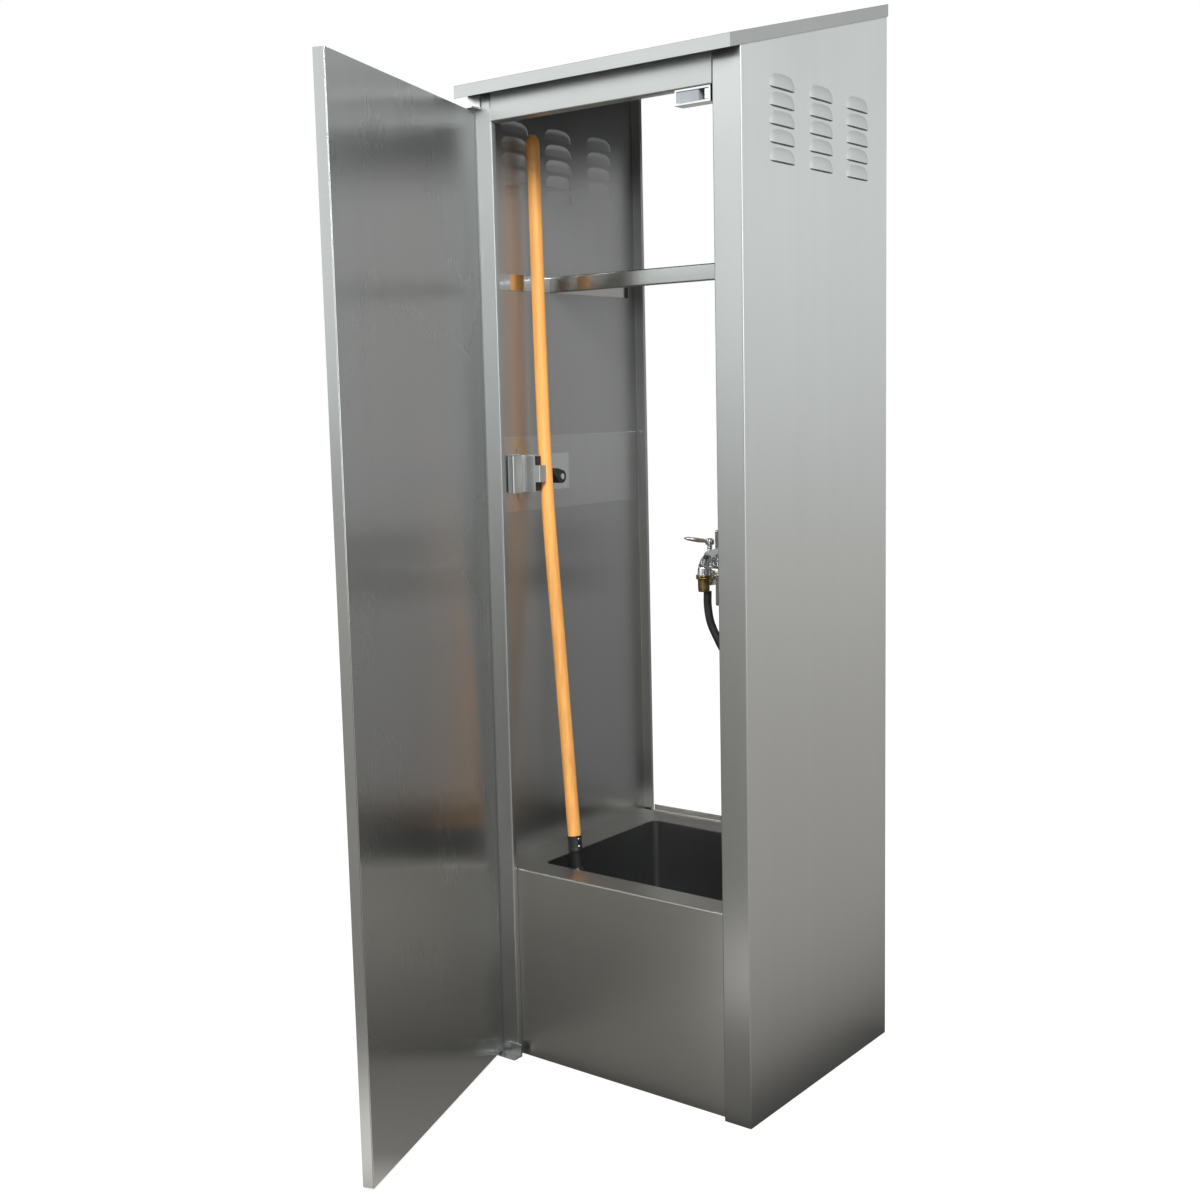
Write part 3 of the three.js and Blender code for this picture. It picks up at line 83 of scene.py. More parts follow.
# The side panels' louvres: the outer face's distance from the middle, how far a hood stands out,
# its length, and the middle of each column and the lower edge of each row.
LOUVRE_FACE, LOUVRE_PROUD, LOUVRE_LENGTH = 0.3175, 0.008, 0.087
LOUVRE_COLUMNS = -0.252 + 0.141 * np.arange(-1, 2)
LOUVRE_ROWS = 1.913 - 0.032 * np.arange(5)
LOUVRE_SOFT = 0.38  # share of the hood's height that its soft form keeps
LOUVRE_CURVE = 1.6  # how gently that form leaves the sheet

SHARP_TURN = 38  # degrees between faces, from which an edge of a new piece stays sharp
SHARP_FOLD = 50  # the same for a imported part
CORNER_CUT = 0.18  # share of a side that one round of corner cutting takes off at each end

# Turned forms, as (radius, height) pairs in millimetres.
POST = ((0, 0), (14.6, 0), (14.6, 14), (13, 17), (13, 34), (15, 36), (15, 43.8), (0, 43.8))
VALVE = ((0, -30), (10.4, -30), (13, -27), (17.6, -20), (19, -14), (19, 8), (18.2, 14), (16.4, 18),
         (16.4, 24), (0, 24))
SHANK = ((0, 0), (14, 0), (14, 20), (0, 20))
SHANK_NUT = ((0, 19), (17.5, 19), (18.5, 20.5), (18.5, 34), (17.5, 35.5), (0, 35.5))
SPOUT_TIP = ((0, 7), (13.4, 7), (13.4, 16), (12.9, 17), (12.6, 22), (11.8, 31), (8.5, 35), (0, 36))
SPOUT_COLLAR = ((0, 44), (14.8, 44), (15, 45), (15, 67), (14.8, 68), (0, 68))
FERRULE = ((8.2, -18.6), (9.6, -19.2), (11.4, -18.8), (11.9, -17), (12.4, -2), (12.4, 4), (13, 5),
           (13, 7), (15.6, 7.6), (16.3, 8.4), (16.3, 10.4), (15.6, 11.2), (14.6, 11.5), (15.6, 12),
           (16.3, 12.8), (16.3, 14.8), (15.6, 15.6), (13.2, 16), (13.2, 7), (8.2, 6))
BREAKER = ((0, 68.2), (15, 68.2), (15, 71), (18.6, 75), (19, 77), (19, 84), (17.6, 85), (17.6, 87),
           (19, 88), (19, 91), (16.4, 97), (11, 101.4), (6, 102.2), (0, 102.2))
BONNET = ((0, 24.2), (15.4, 24.2), (16, 25), (16, 31), (14.8, 32.4), (12.4, 34), (12.4, 36),
          (13.4, 37), (13.4, 39), (11, 41.5), (9.2, 44.2), (0, 44.2))
LEVER_HUB = ((0, -7.5), (8, -7.5), (10, -5), (10, 3.5), (8, 6.2), (4.6, 7), (4.2, 7.5), (0, 7.5))
CLAMP_SOCKET = ((0, -5.5), (14.9, -6), (15.4, -5.4), (15.4, -3), (14.8, -2), (14.8, 20),
                (15.4, 22), (15.4, 27), (13.6, 31), (13.0, 62), (15.4, 67), (15.4, 80), (0, 80))
RIVET = ((0, 13.5), (3.0, 13.5), (3.0, 15.2), (2.3, 16.2), (1.0, 16.6), (0, 16.6))

# Half sizes in millimetres, by share of the length, of the spout's tube and the levers' blades.
SPOUT_RADII = ((0, 0.1, 0.75, 1), (11.6, 11.0, 10.8, 11.6))
BLADE_WIDTHS = ((0, 0.12, 0.55, 0.85, 0.97, 1), (6.0, 5.6, 8.5, 7.2, 4.0, 1.4))
BLADE_HEIGHTS = ((0, 0.12, 0.45, 0.85, 0.97, 1), (4.4, 4.2, 5.0, 4.0, 2.2, 0.8))

# The spout's centreline: shares of its reach, with heights in millimetres.
SPOUT_LINE = ((0, 56), (0.25, 56.3), (0.55, 56.2), (0.8, 53.5), (0.94, 44.5), (1, 31))

# The clamp's jaw in millimetres: places along the axis, half widths and half heights.
JAW = ((79, 79.5, 81.5, 85, 88.5, 91.2, 92), (29, 31, 32, 32, 32, 31, 28),
       (9.5, 11.2, 12, 12, 12, 11, 9))


# ---- sizes and colours a user would change -------------------------------------------------

class StageSettings(bpy.types.PropertyGroup):
    """Camera, light and floor."""
    camera_place: FloatVectorProperty(
        name="Camera place", description="Where the camera stands", size=3, subtype="TRANSLATION",
        default=(1.769, -2.835, 1.360))
    camera_azimuth: FloatProperty(
        name="Azimuth", description="Camera's turn about the upright axis, from the front",
        default=37.74)
    camera_elevation: FloatProperty(
        name="Elevation", description="Camera's downward tilt, in degrees", default=7.34)
    camera_roll: FloatProperty(name="Roll", description="Camera's roll, in degrees", default=-1.28)
    lens: FloatProperty(
        name="Lens", description="Focal length on a 36 mm sensor, in mm", default=45.63)
    world_level: FloatProperty(
        name="World level", description="Strength of the sky light", default=1.0)
    key_power: FloatProperty(name="Key power", description="Front light, in watts", default=270.0)
    floor_tone: FloatVectorProperty(
        name="Floor", description="Colour of the floor, as the object sees it", size=3,
        subtype="COLOR", default=(1.0, 0.965, 0.91))


class SheetSettings(bpy.types.PropertyGroup):
    """The cabinet's sheet metal."""
    satin_tone: FloatVectorProperty(
        name="Satin sheet", description="Colour of the brushed outer sheet", size=3,
        subtype="COLOR", default=(0.50, 0.51, 0.505))
    satin_roughness: FloatProperty(
        name="Satin roughness", description="Roughness of the brushed sheet", default=0.30)
    bright_tone: FloatVectorProperty(
        name="Bright sheet", description="Colour of the polished sheet", size=3, subtype="COLOR",
        default=(0.56, 0.565, 0.55))
    bright_roughness: FloatProperty(
        name="Bright roughness", description="Roughness of the polished sheet", default=0.14)
    # the strips of painted shade that close the louvre openings are this tall
    louvre_mouth: FloatProperty(
        name="Louvre mouth", description="Height of the opening under a louvre's hood",
        subtype="DISTANCE", default=0.0026)
    edge_round: FloatProperty(
        name="Edge rounding", description="Radius of the sheet's broken edges", subtype="DISTANCE",
        default=0.0005)


class FittingSettings(bpy.types.PropertyGroup):
    """Hose, mop and faucet."""
    hose_diameter: FloatProperty(
        name="Hose diameter", description="Outside diameter of the hose", subtype="DISTANCE",
        default=0.017)
    hose_sides: IntProperty(name="Hose sides", description="Points round the hose", default=24)
    handle_diameter: FloatProperty(
        name="Handle diameter", description="Diameter of the mop's wooden handle",
        subtype="DISTANCE", default=0.028)
    wood_tone: FloatVectorProperty(
        name="Wood", description="Colour of the handle", size=3, subtype="COLOR",
        default=(0.78, 0.36, 0.092))


# ---- surfaces ------------------------------------------------------------------------------

def grid_faces(rings, around, closed):
    """Quads of a grid of rings by points: each quad joins a point, the next one round, and the
    same two on the next ring."""
    i, j = np.meshgrid(
        np.arange(rings - 1), np.arange(around if closed else around - 1), indexing="ij")
    here, beside = i * around + j, i * around + (j + 1) % around
    return np.stack([here, beside, beside + around, here + around], -1).reshape(-1, 4)


def mesh_piece(name, points, faces, smooth=True):
    """A mesh object at the origin, from points and faces worked out beforehand."""
    mesh = bpy.data.meshes.new(name)
    mesh.from_pydata(points.reshape(-1, 3).tolist(), [], [tuple(f) for f in faces])
    mesh.validate()
    mesh.polygons.foreach_set("use_smooth", np.full(len(mesh.polygons), smooth))
    piece = bpy.data.objects.new(name, mesh)
    bpy.context.scene.collection.objects.link(piece)
    return piece


def spline(points, count, tension=0.5):
    """Centripetal Catmull-Rom curve through the points, at evenly spaced lengths: each span is the
    blend of two blended parabolas through its four nearest points."""
    points = np.asarray(points, float)
    ends = np.vstack([2 * points[0] - points[1], points, 2 * points[-1] - points[-2]])
    t = np.concatenate([[0], np.cumsum(np.linalg.norm(np.diff(ends, axis=0), axis=1) ** tension)])
    s = np.linspace(t[1], t[-2], count * 8)
    k = np.clip(np.searchsorted(t, s, side="right") - 1, 1, len(t) - 3)
    p = [ends[k + d] for d in (-1, 0, 1, 2)]
    q = [t[k + d] for d in (-1, 0, 1, 2)]

    def mix(a, b, ta, tb):
        w = ((s - ta) / (tb - ta))[:, None]
        return a * (1 - w) + b * w

    a = [mix(p[n], p[n + 1], q[n], q[n + 1]) for n in range(3)]
    b = [mix(a[0], a[1], q[0], q[2]), mix(a[1], a[2], q[1], q[3])]
    fine = mix(b[0], b[1], q[1], q[2])
    run = np.concatenate([[0], np.cumsum(np.linalg.norm(np.diff(fine, axis=0), axis=1))])
    even = np.linspace(0, run[-1], count)
    return np.stack([np.interp(even, run, fine[:, c]) for c in range(3)], -1)


def frames_along(line, up=(0, 1, 0)):
    """Tangent, side and rise at each point of a line: the side is the given direction made square
    to the tangent."""
    tangent = np.gradient(line, axis=0)
    tangent /= np.linalg.norm(tangent, axis=1)[:, None]
    side = np.asarray(up, float) - tangent * (tangent @ np.asarray(up, float))[:, None]
    side /= np.linalg.norm(side, axis=1)[:, None]
    return tangent, side, np.cross(tangent, side)


def tube_points(line, radii, around, up=(0, 1, 0)):
    """A circle of the given radius carried along the line: point = line + radius * (cos * side +
    sin * rise)."""
    _, side, rise = frames_along(line, up)
    angle = np.linspace(0, 2 * np.pi, around, endpoint=False)[None, :, None]
    ring = np.cos(angle) * side[:, None] + np.sin(angle) * rise[:, None]
    return line[:, None] + np.asarray(radii)[:, None, None] * ring


def spun(profile, start=(0, 0, 0), axis=(0, 0, 1), around=48):
    """A profile of (radius, height) pairs turned about an axis: point = start + height * axis +
    radius * (cos * side + sin * other side)."""
    profile, axis = np.asarray(profile, float), np.asarray(axis, float)
    helper = np.array([1.0, 0, 0]) if abs(axis[0]) < 0.9 else np.array([0, 1.0, 0])
    side = helper - axis * (helper @ axis)
    side /= np.linalg.norm(side)
    angle = np.linspace(0, 2 * np.pi, around, endpoint=False)
    ring = np.cos(angle)[:, None] * side + np.sin(angle)[:, None] * np.cross(axis, side)
    radius, height = profile[:, 0, None, None], profile[:, 1, None, None]
    return np.asarray(start, float) + height * axis + radius * ring


def lofted(centres, halves, side, rise, power=2.6, around=32):
    """Rounded-rectangle sections along a row of centres: point = centre + half width *
    |cos|^(2/p) * side + half height * |sin|^(2/p) * rise, with the signs of cos and sin."""
    angle = np.linspace(0, 2 * np.pi, around, endpoint=False)
    c, s = np.cos(angle), np.sin(angle)
    c, s = np.sign(c) * np.abs(c) ** (2 / power), np.sign(s) * np.abs(s) ** (2 / power)
    centres, halves, side, rise = (np.asarray(v, float) for v in (centres, halves, side, rise))
    wide, high = halves[:, :1, None] * c[:, None], halves[:, 1:, None] * s[:, None]
    return centres[:, None] + wide * side + high * rise


def rounded(profile, rounds=2):
    """Cuts every corner of a profile by a share of its two sides (Chaikin), which rounds it more
    with every round."""
    line = np.asarray(profile, float)
    for _ in range(rounds):
        a, b = line[:-1], line[1:]
        cut = [(1 - CORNER_CUT) * a + CORNER_CUT * b, CORNER_CUT * a + (1 - CORNER_CUT) * b]
        line = np.vstack([line[:1], np.stack(cut, 1).reshape(-1, 2), line[-1:]])
    return line


def capped(rings):
    """The rings with a point at the middle of the first and the last, which closes the shell."""
    first, last = (np.broadcast_to(ring.mean(0), ring.shape)[None] for ring in rings[[0, -1]])
    return np.concatenate([first, rings, last])


def closed_piece(name, grids, material):
    """One piece from shells, each a grid of rings that is closed at both ends."""
    points, faces, start = [], [], 0
    for grid in grids:
        shell = capped(grid)
        rings, around = shell.shape[:2]
        points.append(shell.reshape(-1, 3))
        faces.append(grid_faces(rings, around, True) + start)
        start += rings * around
    piece = mesh_piece(name, np.concatenate(points), np.concatenate(faces))
    shape = bmesh.new()
    shape.from_mesh(piece.data)
    bmesh.ops.remove_doubles(shape, verts=shape.verts, dist=1e-7)
    bmesh.ops.recalc_face_normals(shape, faces=shape.faces)
    shape.normal_update()
    mark_edges(shape, SHARP_TURN)
    shape.to_mesh(piece.data)
    shape.free()
    piece.data.materials.append(material)
    return piece


def mark_edges(shape, degrees):
    """Shades a shape smooth, but for the edges whose faces meet at more than the angle, and gives
    those edges."""
    limit = math.radians(degrees)
    sharp = []
    for edge in shape.edges:
        edge.smooth = not (edge.is_manifold and edge.calc_face_angle(0) > limit)
        if not edge.smooth:
            sharp.append(edge)
    for face in shape.faces:
        face.smooth = True
    return sharp


def stands_for(piece, node):
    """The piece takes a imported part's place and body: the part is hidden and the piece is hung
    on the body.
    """
    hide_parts(node)
    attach(piece, BODY_OF[node])


def fine_piece(name, node, grids, material):
    """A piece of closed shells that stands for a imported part."""
    piece = closed_piece(name, grids, material)
    stands_for(piece, node)
    return piece


def soft_pressing(points):
    """Pressed hoods rise from the sheet in a soft curve: the height beyond the sheet's face, as a
    share of the full height, becomes LOUVRE_SOFT times its power of LOUVRE_CURVE."""
    high = np.clip((np.abs(points[:, 0]) - LOUVRE_FACE) / LOUVRE_PROUD, 0, 1)
    eased = LOUVRE_FACE + LOUVRE_SOFT * LOUVRE_PROUD * high ** LOUVRE_CURVE
    points[:, 0] = np.where(high > 0, np.sign(points[:, 0]) * eased, points[:, 0])
    return points


def finished_copy(node, material, ease=0.0, shortest=0.004, reshape=None):
    """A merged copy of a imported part. Sharp edges longer than the shortest length get a narrow
    rounded bevel. The rest is shaded smooth, with each corner's normal leaning to its largest
    face."""
    name = node + "_finish"
    mesh = frame["nodes"][node].data.copy()
    mesh.name = name
    shape = bmesh.new()
    shape.from_mesh(mesh)
    bmesh.ops.remove_doubles(shape, verts=shape.verts, dist=2e-6)
    bmesh.ops.dissolve_limit(
        shape, angle_limit=math.radians(0.4), verts=shape.verts, edges=shape.edges)
    if reshape is not None:
        shape.to_mesh(mesh)
        points = np.empty(len(mesh.vertices) * 3, np.float32)
        mesh.vertices.foreach_get("co", points)
        mesh.vertices.foreach_set("co", reshape(points.reshape(-1, 3)).ravel())
        shape.clear()
        shape.from_mesh(mesh)
    weight = shape.edges.layers.float.new("bevel_weight_edge")
    for edge in mark_edges(shape, SHARP_FOLD):
        edge[weight] = float(edge.calc_length() > shortest)
    shape.to_mesh(mesh)
    shape.free()
    mesh.materials.clear()
    mesh.materials.append(material)
    piece = bpy.data.objects.new(name, mesh)
    bpy.context.scene.collection.objects.link(piece)
    if ease > 0:
        bevel = piece.modifiers.new("broken_edges", "BEVEL")
        bevel.limit_method = "WEIGHT"
        bevel.width = ease
        bevel.segments = 2
        bevel.use_clamp_overlap = False
    even = piece.modifiers.new("even_normals", "WEIGHTED_NORMAL")
    even.keep_sharp = True
    stands_for(piece, node)


# ---- finishes ------------------------------------------------------------------------------

class Nodes:
    """A node tree with short ways to add to it."""

    def __init__(self, tree):
        self.tree = tree

    def node(self, kind, **settings):
        """A new node, with each setting put on its option or its socket."""
        made = self.tree.nodes.new("ShaderNode" + kind)
        for key, value in settings.items():
            if hasattr(made, key):
                setattr(made, key, value)
            else:
                self.put(value, made.inputs[key.replace("_", " ")])
        return made

    def put(self, value, socket):
        """Links a value that is another node's output, and sets any other."""
        if isinstance(value, bpy.types.NodeSocket):
            self.tree.links.new(value, socket)
        else:
            socket.default_value = value

    def ramp(self, fac, low, high, at=(0.3, 0.7)):
        """Maps a factor between two values, over the given part of its range."""
        made = self.node("MapRange", Value=fac, From_Min=at[0], From_Max=at[1], To_Min=low,
                         To_Max=high)
        return made.outputs["Result"]

    def joined(self, operation, a, b):
        made = self.node("Math", operation=operation)
        self.put(a, made.inputs[0])
        self.put(b, made.inputs[1])
        return made.outputs[0]

    def product(self, level, *factors):
        for factor in factors:
            level = self.joined("MULTIPLY", level, factor)
        return level

    def chosen(self, fac, low, high):
        """A level between two others."""
        made = self.node("Mix", data_type="FLOAT")
        for value, socket in zip((fac, low, high), (0, 2, 3)):
            self.put(value, made.inputs[socket])
        return made.outputs[0]

    def tint(self, fac, low, high, blend="MIX"):
        """A colour between two others, or their product."""
        made = self.node("Mix", data_type="RGBA", blend_type=blend)
        for value, socket in zip((fac, low, high), (0, 6, 7)):
            self.put((*value, 1) if isinstance(value, tuple) else value, made.inputs[socket])
        return made.outputs[2]

    def steps(self, fac, stops):
        """A level that runs through the stops, each a place from 0 to 1 and a value."""
        made = self.node("ValToRGB", Fac=fac)
        bar = made.color_ramp.elements
        while len(bar) < len(stops):
            bar.new(0.5)
        for mark, (place, value) in zip(bar, stops):
            mark.position = place
            mark.color = (value, value, value, 1)
        return made.outputs[0]


class Finish(Nodes):
    """A material, with constants on its Principled shader."""

    def __init__(self, name, **constants):
        self.material = bpy.data.materials.new(name)
        self.material.use_nodes = True
        super().__init__(self.material.node_tree)
        self.shader = self.tree.nodes["Principled BSDF"]
        self.set(**constants)

    def set(self, **settings):
        for key, value in settings.items():
            self.put(value, self.shader.inputs[key.replace("_", " ")])

    def where(self):
        return self.node("TexCoord").outputs["Object"]

    def noise(self, scale, detail=3.0, rough=0.55):
        """Noise on Object coordinates, stretched by the scale."""
        place = self.node("Mapping", Vector=self.where(), Scale=scale).outputs["Vector"]
        return self.node(
            "TexNoise", Vector=place, Scale=1.0, Detail=detail, Roughness=rough).outputs["Fac"]

    def bump(self, height, strength, distance, below=None):
        made = self.node("Bump", Height=height, Strength=strength, Distance=distance)
        if below is not None:
            self.put(below, made.inputs["Normal"])
        return made.outputs["Normal"]

    def across_grain(self, axis):
        """The direction in the surface that is square to the grain: the normal crossed with the
        grain's axis, and a little more, so that it is never nothing."""
        cross = self.node("VectorMath", operation="CROSS_PRODUCT")
        self.put(self.node("NewGeometry").outputs["Normal"], cross.inputs[0])
        self.put(axis, cross.inputs[1])
        kept = self.node("VectorMath", operation="ADD")
        self.put(cross.outputs[0], kept.inputs[0])
        self.put((0.004, 0.005, 0.006), kept.inputs[1])
        return kept.outputs[0]

    def layered(self, fac, below, above):
        """One shader over another, each given by its node."""
        made = self.node("MixShader", Fac=fac)
        self.put(below.outputs[0], made.inputs[1])
        self.put(above.outputs[0], made.inputs[2])
        return made

    def show(self, shader):
        self.put(shader.outputs[0], self.tree.nodes["Material Output"].inputs["Surface"])


def shade(tone, factor):
    return tuple(min(1.0, c * factor) for c in tone)


def shadow_gap(name):
    """Painted shade: a near-black colour, mottled by noise, that stands for the shade in a narrow
    opening.
    """
    finish = Finish(name, Roughness=0.7)
    # painted shade: noise mottles the dark between two near-black tones
    shade_mottle = finish.ramp(finish.noise((60, 60, 60), detail=4), 0, 1)
    finish.set(Base_Color=finish.tint(shade_mottle, (0.07, 0.07, 0.07), (0.13, 0.13, 0.125)))
    return finish.material


def brushed_sheet(name, tone, roughness, grain, stretch=0.7, contrast=0.025, relief=0.05,
                  fineness=1300):
    """Stainless sheet with a fine brushed grain along one axis, faint mill bands and handling
    marks. Reflections are drawn out square to the grain. Without relief the sheet is smooth."""
    axis = GRAIN_AXES[grain]
    finish = Finish(name, Metallic=1.0, Anisotropic=stretch)
    fine = finish.noise(tuple(9 if a else fineness for a in axis), detail=3)
    bands = finish.noise(tuple(0.7 if a else 22 for a in axis), detail=2)
    marks = finish.noise((3.2, 3.2, 2.4), detail=2.5, rough=0.5)
    streaks = finish.tint(
        finish.ramp(fine, 0, 1), shade(tone, 1 - contrast), shade(tone, 1 + contrast))
    milled = finish.tint(finish.ramp(bands, 0, 1), (0.975, 0.975, 0.975), (1.0, 1.0, 1.0))
    swing = 2.5 * contrast * roughness
    rubbed = finish.ramp(fine, roughness - swing, roughness + swing)
    finish.set(Base_Color=finish.tint(1.0, streaks, milled, "MULTIPLY"),
               Roughness=finish.joined("ADD", rubbed, finish.ramp(marks, -0.012, 0.014)),
               Tangent=finish.across_grain(axis))
    if relief > 0:
        handled = finish.bump(marks, 0.6 * relief, 0.004)
        finish.set(Normal=finish.bump(fine, relief, 0.0002, handled))
    return finish.material


def chrome_plate(name, tone):
    """Bright plating, with a very slight waviness and dulling from hands."""
    finish = Finish(name, Metallic=1.0, Base_Color=(*tone, 1))
    wear = finish.noise((30, 30, 30), detail=4)
    finish.set(Roughness=finish.ramp(wear, 0.05, 0.16), Normal=finish.bump(wear, 0.03, 0.001))
    return finish.material


def dull_brass(name):
    """Brass with a brown tarnish in patches."""
    finish = Finish(name, Metallic=1.0)
    patches = finish.noise((90, 90, 90), detail=5)
    tarnish = finish.tint(finish.ramp(patches, 0, 1), (0.20, 0.14, 0.05), (0.46, 0.36, 0.16))
    finish.set(Base_Color=tarnish, Roughness=finish.ramp(patches, 0.26, 0.48),
               Normal=finish.bump(patches, 0.08, 0.0005))
    return finish.material


def hose_rubber(name):
    """Black rubber with a fine skin texture and a dusty bloom."""
    finish = Finish(name)
    skin = finish.noise((700, 700, 700), detail=3)
    bloom = finish.noise((18, 18, 18), detail=4)
    dusty = finish.tint(finish.ramp(bloom, 0, 1), (0.010, 0.010, 0.011), (0.028, 0.028, 0.030))
    finish.set(Base_Color=dusty, Roughness=finish.ramp(bloom, 0.42, 0.62),
               Normal=finish.bump(skin, 0.12, 0.0003))
    return finish.material


def moulded(name, tone, roughness):
    """Injection-moulded plastic with a spark-eroded texture."""
    finish = Finish(name)
    pores = finish.noise((1500, 1500, 1500), detail=2)
    tonal = finish.ramp(finish.noise((25, 25, 25), detail=3), 0, 1)
    finish.set(Base_Color=finish.tint(tonal, shade(tone, 0.88), shade(tone, 1.1)),
               Roughness=finish.ramp(pores, roughness * 0.85, roughness * 1.15),
               Normal=finish.bump(pores, 0.1, 0.0002))
    return finish.material


def varnished_wood(name, tone):
    """Turned hardwood under varnish: long grain streaks, pores and a slow change of colour."""
    finish = Finish(name, Coat_Weight=0.15, Coat_Roughness=0.3)
    streaks = finish.noise((160, 160, 4), detail=6, rough=0.6)
    pores = finish.noise((900, 900, 18), detail=2)
    slow = finish.noise((9, 9, 1.6), detail=3)
    mixed = finish.joined("ADD", finish.product(streaks, 0.8), slow)
    figure = finish.ramp(mixed, 0, 1, (0.6, 1.15))
    finish.set(Base_Color=finish.tint(figure, shade(tone, 0.72), shade(tone, 1.3)),
               Roughness=finish.ramp(pores, 0.34, 0.5),
               Normal=finish.bump(pores, 0.12, 0.0003, finish.bump(streaks, 0.05, 0.0006)))
    return finish.material


# ---- operators -----------------------------------------------------------------------------

def aimed(place, back, roll=0.0):
    """The matrix of a camera or lamp at a place that faces away from back: right and up are square
    to back, turned in that plane by the roll."""
    right = np.cross((0, 0, 1), back)
    right /= np.linalg.norm(right)
    up = np.cross(back, right)
    matrix = np.eye(4)
    matrix[:3, 0] = right * math.cos(roll) + up * math.sin(roll)
    matrix[:3, 1] = up * math.cos(roll) - right * math.sin(roll)
    matrix[:3, 2] = back
    matrix[:3, 3] = place
    return Matrix(matrix)


class SERVICESINK_OT_camera(bpy.types.Operator):
    """Places the camera at the photograph's viewing angle"""
    bl_idname = "servicesink.camera"
    bl_label = "Camera"

    def execute(self, context):
        stage = context.scene.servicesink_stage
        az, el, roll = (math.radians(v) for v in (
            stage.camera_azimuth, stage.camera_elevation, stage.camera_roll))
        back = (math.sin(az) * math.cos(el), -math.cos(az) * math.cos(el), math.sin(el))
        data = bpy.data.cameras.new("camera")
        data.sensor_fit = "HORIZONTAL"
        data.sensor_width = 36
        data.lens = stage.lens
        data.clip_end = 60
        camera = bpy.data.objects.new("camera", data)
        camera.matrix_world = aimed(stage.camera_place, back, roll)
        context.scene.collection.objects.link(camera)
        context.scene.camera = camera
        return {"FINISHED"}


class SERVICESINK_OT_hose(bpy.types.Operator):
    """Builds the rubber hose that hangs from the faucet into the bowl"""
    bl_idname = "servicesink.hose"
    bl_label = "Hose"

    def execute(self, context):
        """A circle carried along a smooth curve through the route's points."""
        fittings = context.scene.servicesink_fittings
        path = spline(HOSE_ROUTE, 160)
        radii = np.full(len(path), fittings.hose_diameter / 2)
        hose = closed_piece("rubber_hose", [tube_points(path, radii, fittings.hose_sides)],
                            hose_rubber("hose_rubber"))
        stands_for(hose, "hose")
        return {"FINISHED"}


class SERVICESINK_OT_sheet_metal(bpy.types.Operator):
    """Gives the cabinet's folded sheets their brushed and polished finishes"""
    bl_idname = "servicesink.sheet_metal"
    bl_label = "Sheet metal"

    def execute(self, context):
        """Each row is a finish's name, tone, roughness, grain and other values, with its parts."""
        sheets = context.scene.servicesink_sheets
        satin, rough = tuple(sheets.satin_tone), sheets.satin_roughness
        # The deck and its apron take a warmer copy of the satin tone that is also darker; the
        # darkening is painted shade.
        warm_shaded_tone = tuple(c * part for c, part in zip(satin, (0.91, 0.87, 0.83)))
        for name, tone, roughness, grain, values, nodes in (
                ("satin_sheet_panel", satin, rough * 1.15, "Z",
                 {"stretch": 0.85, "contrast": 0.012, "relief": 0.012},
                 ("side_panel_left", "side_panel_right")),
                ("satin_sheet_deck", warm_shaded_tone, rough, "X", {}, ("sink_deck",)),
                ("satin_sheet_across", satin, rough, "X", {},
                 ("top_cap", "header_rail", "rear_rail_bottom", "rear_rail_top",
                  "deck_bracket_left", "deck_bracket_right", "faucet_bracket", "door_stiffener")),
                # The bowl takes a darker copy of the satin tone, as painted shade for its inside.
                ("satin_sheet_basin", shade(satin, 0.82), rough, "X", {"stretch": 0.3},
                 ("sink_bowl",)),
                ("satin_sheet_door", satin, rough * 0.9, "Z",
                 {"stretch": 0.8, "contrast": 0.002, "relief": 0.0, "fineness": 430},
                 ("door_pan", "door_liner")),
                ("satin_sheet_backing", shade(satin, 1.14), rough, "Z",
                 {"stretch": 0.85, "contrast": 0.015, "relief": 0.01},
                 ("hanger_band", "holder_plate")),
                ("satin_sheet_strap", shade(satin, 1.42), rough * 1.1, "Z",
                 {"stretch": 0.3, "contrast": 0.03},
                 ("holder_bracket", "holder_retainer", "hinge_bracket_top")),
                ("satin_sheet_ledge", shade(satin, 0.9), rough * 0.8, "X",
                 {"stretch": 0.4, "contrast": 0.02}, ("shelf", "hinge_bracket_bottom")),
                ("bright_sheet", tuple(sheets.bright_tone), sheets.bright_roughness, "X",
                 {"stretch": 0.3, "contrast": 0.03},
                 ("shelf_rail_left", "shelf_rail_right", "catch_frame"))):
            material = brushed_sheet(name, tone, roughness, grain, **values)
            for node in nodes:
                finished_copy(node, material, sheets.edge_round, shortest=0.03,
                              reshape=soft_pressing if node.startswith("side_panel") else None)
        return {"FINISHED"}


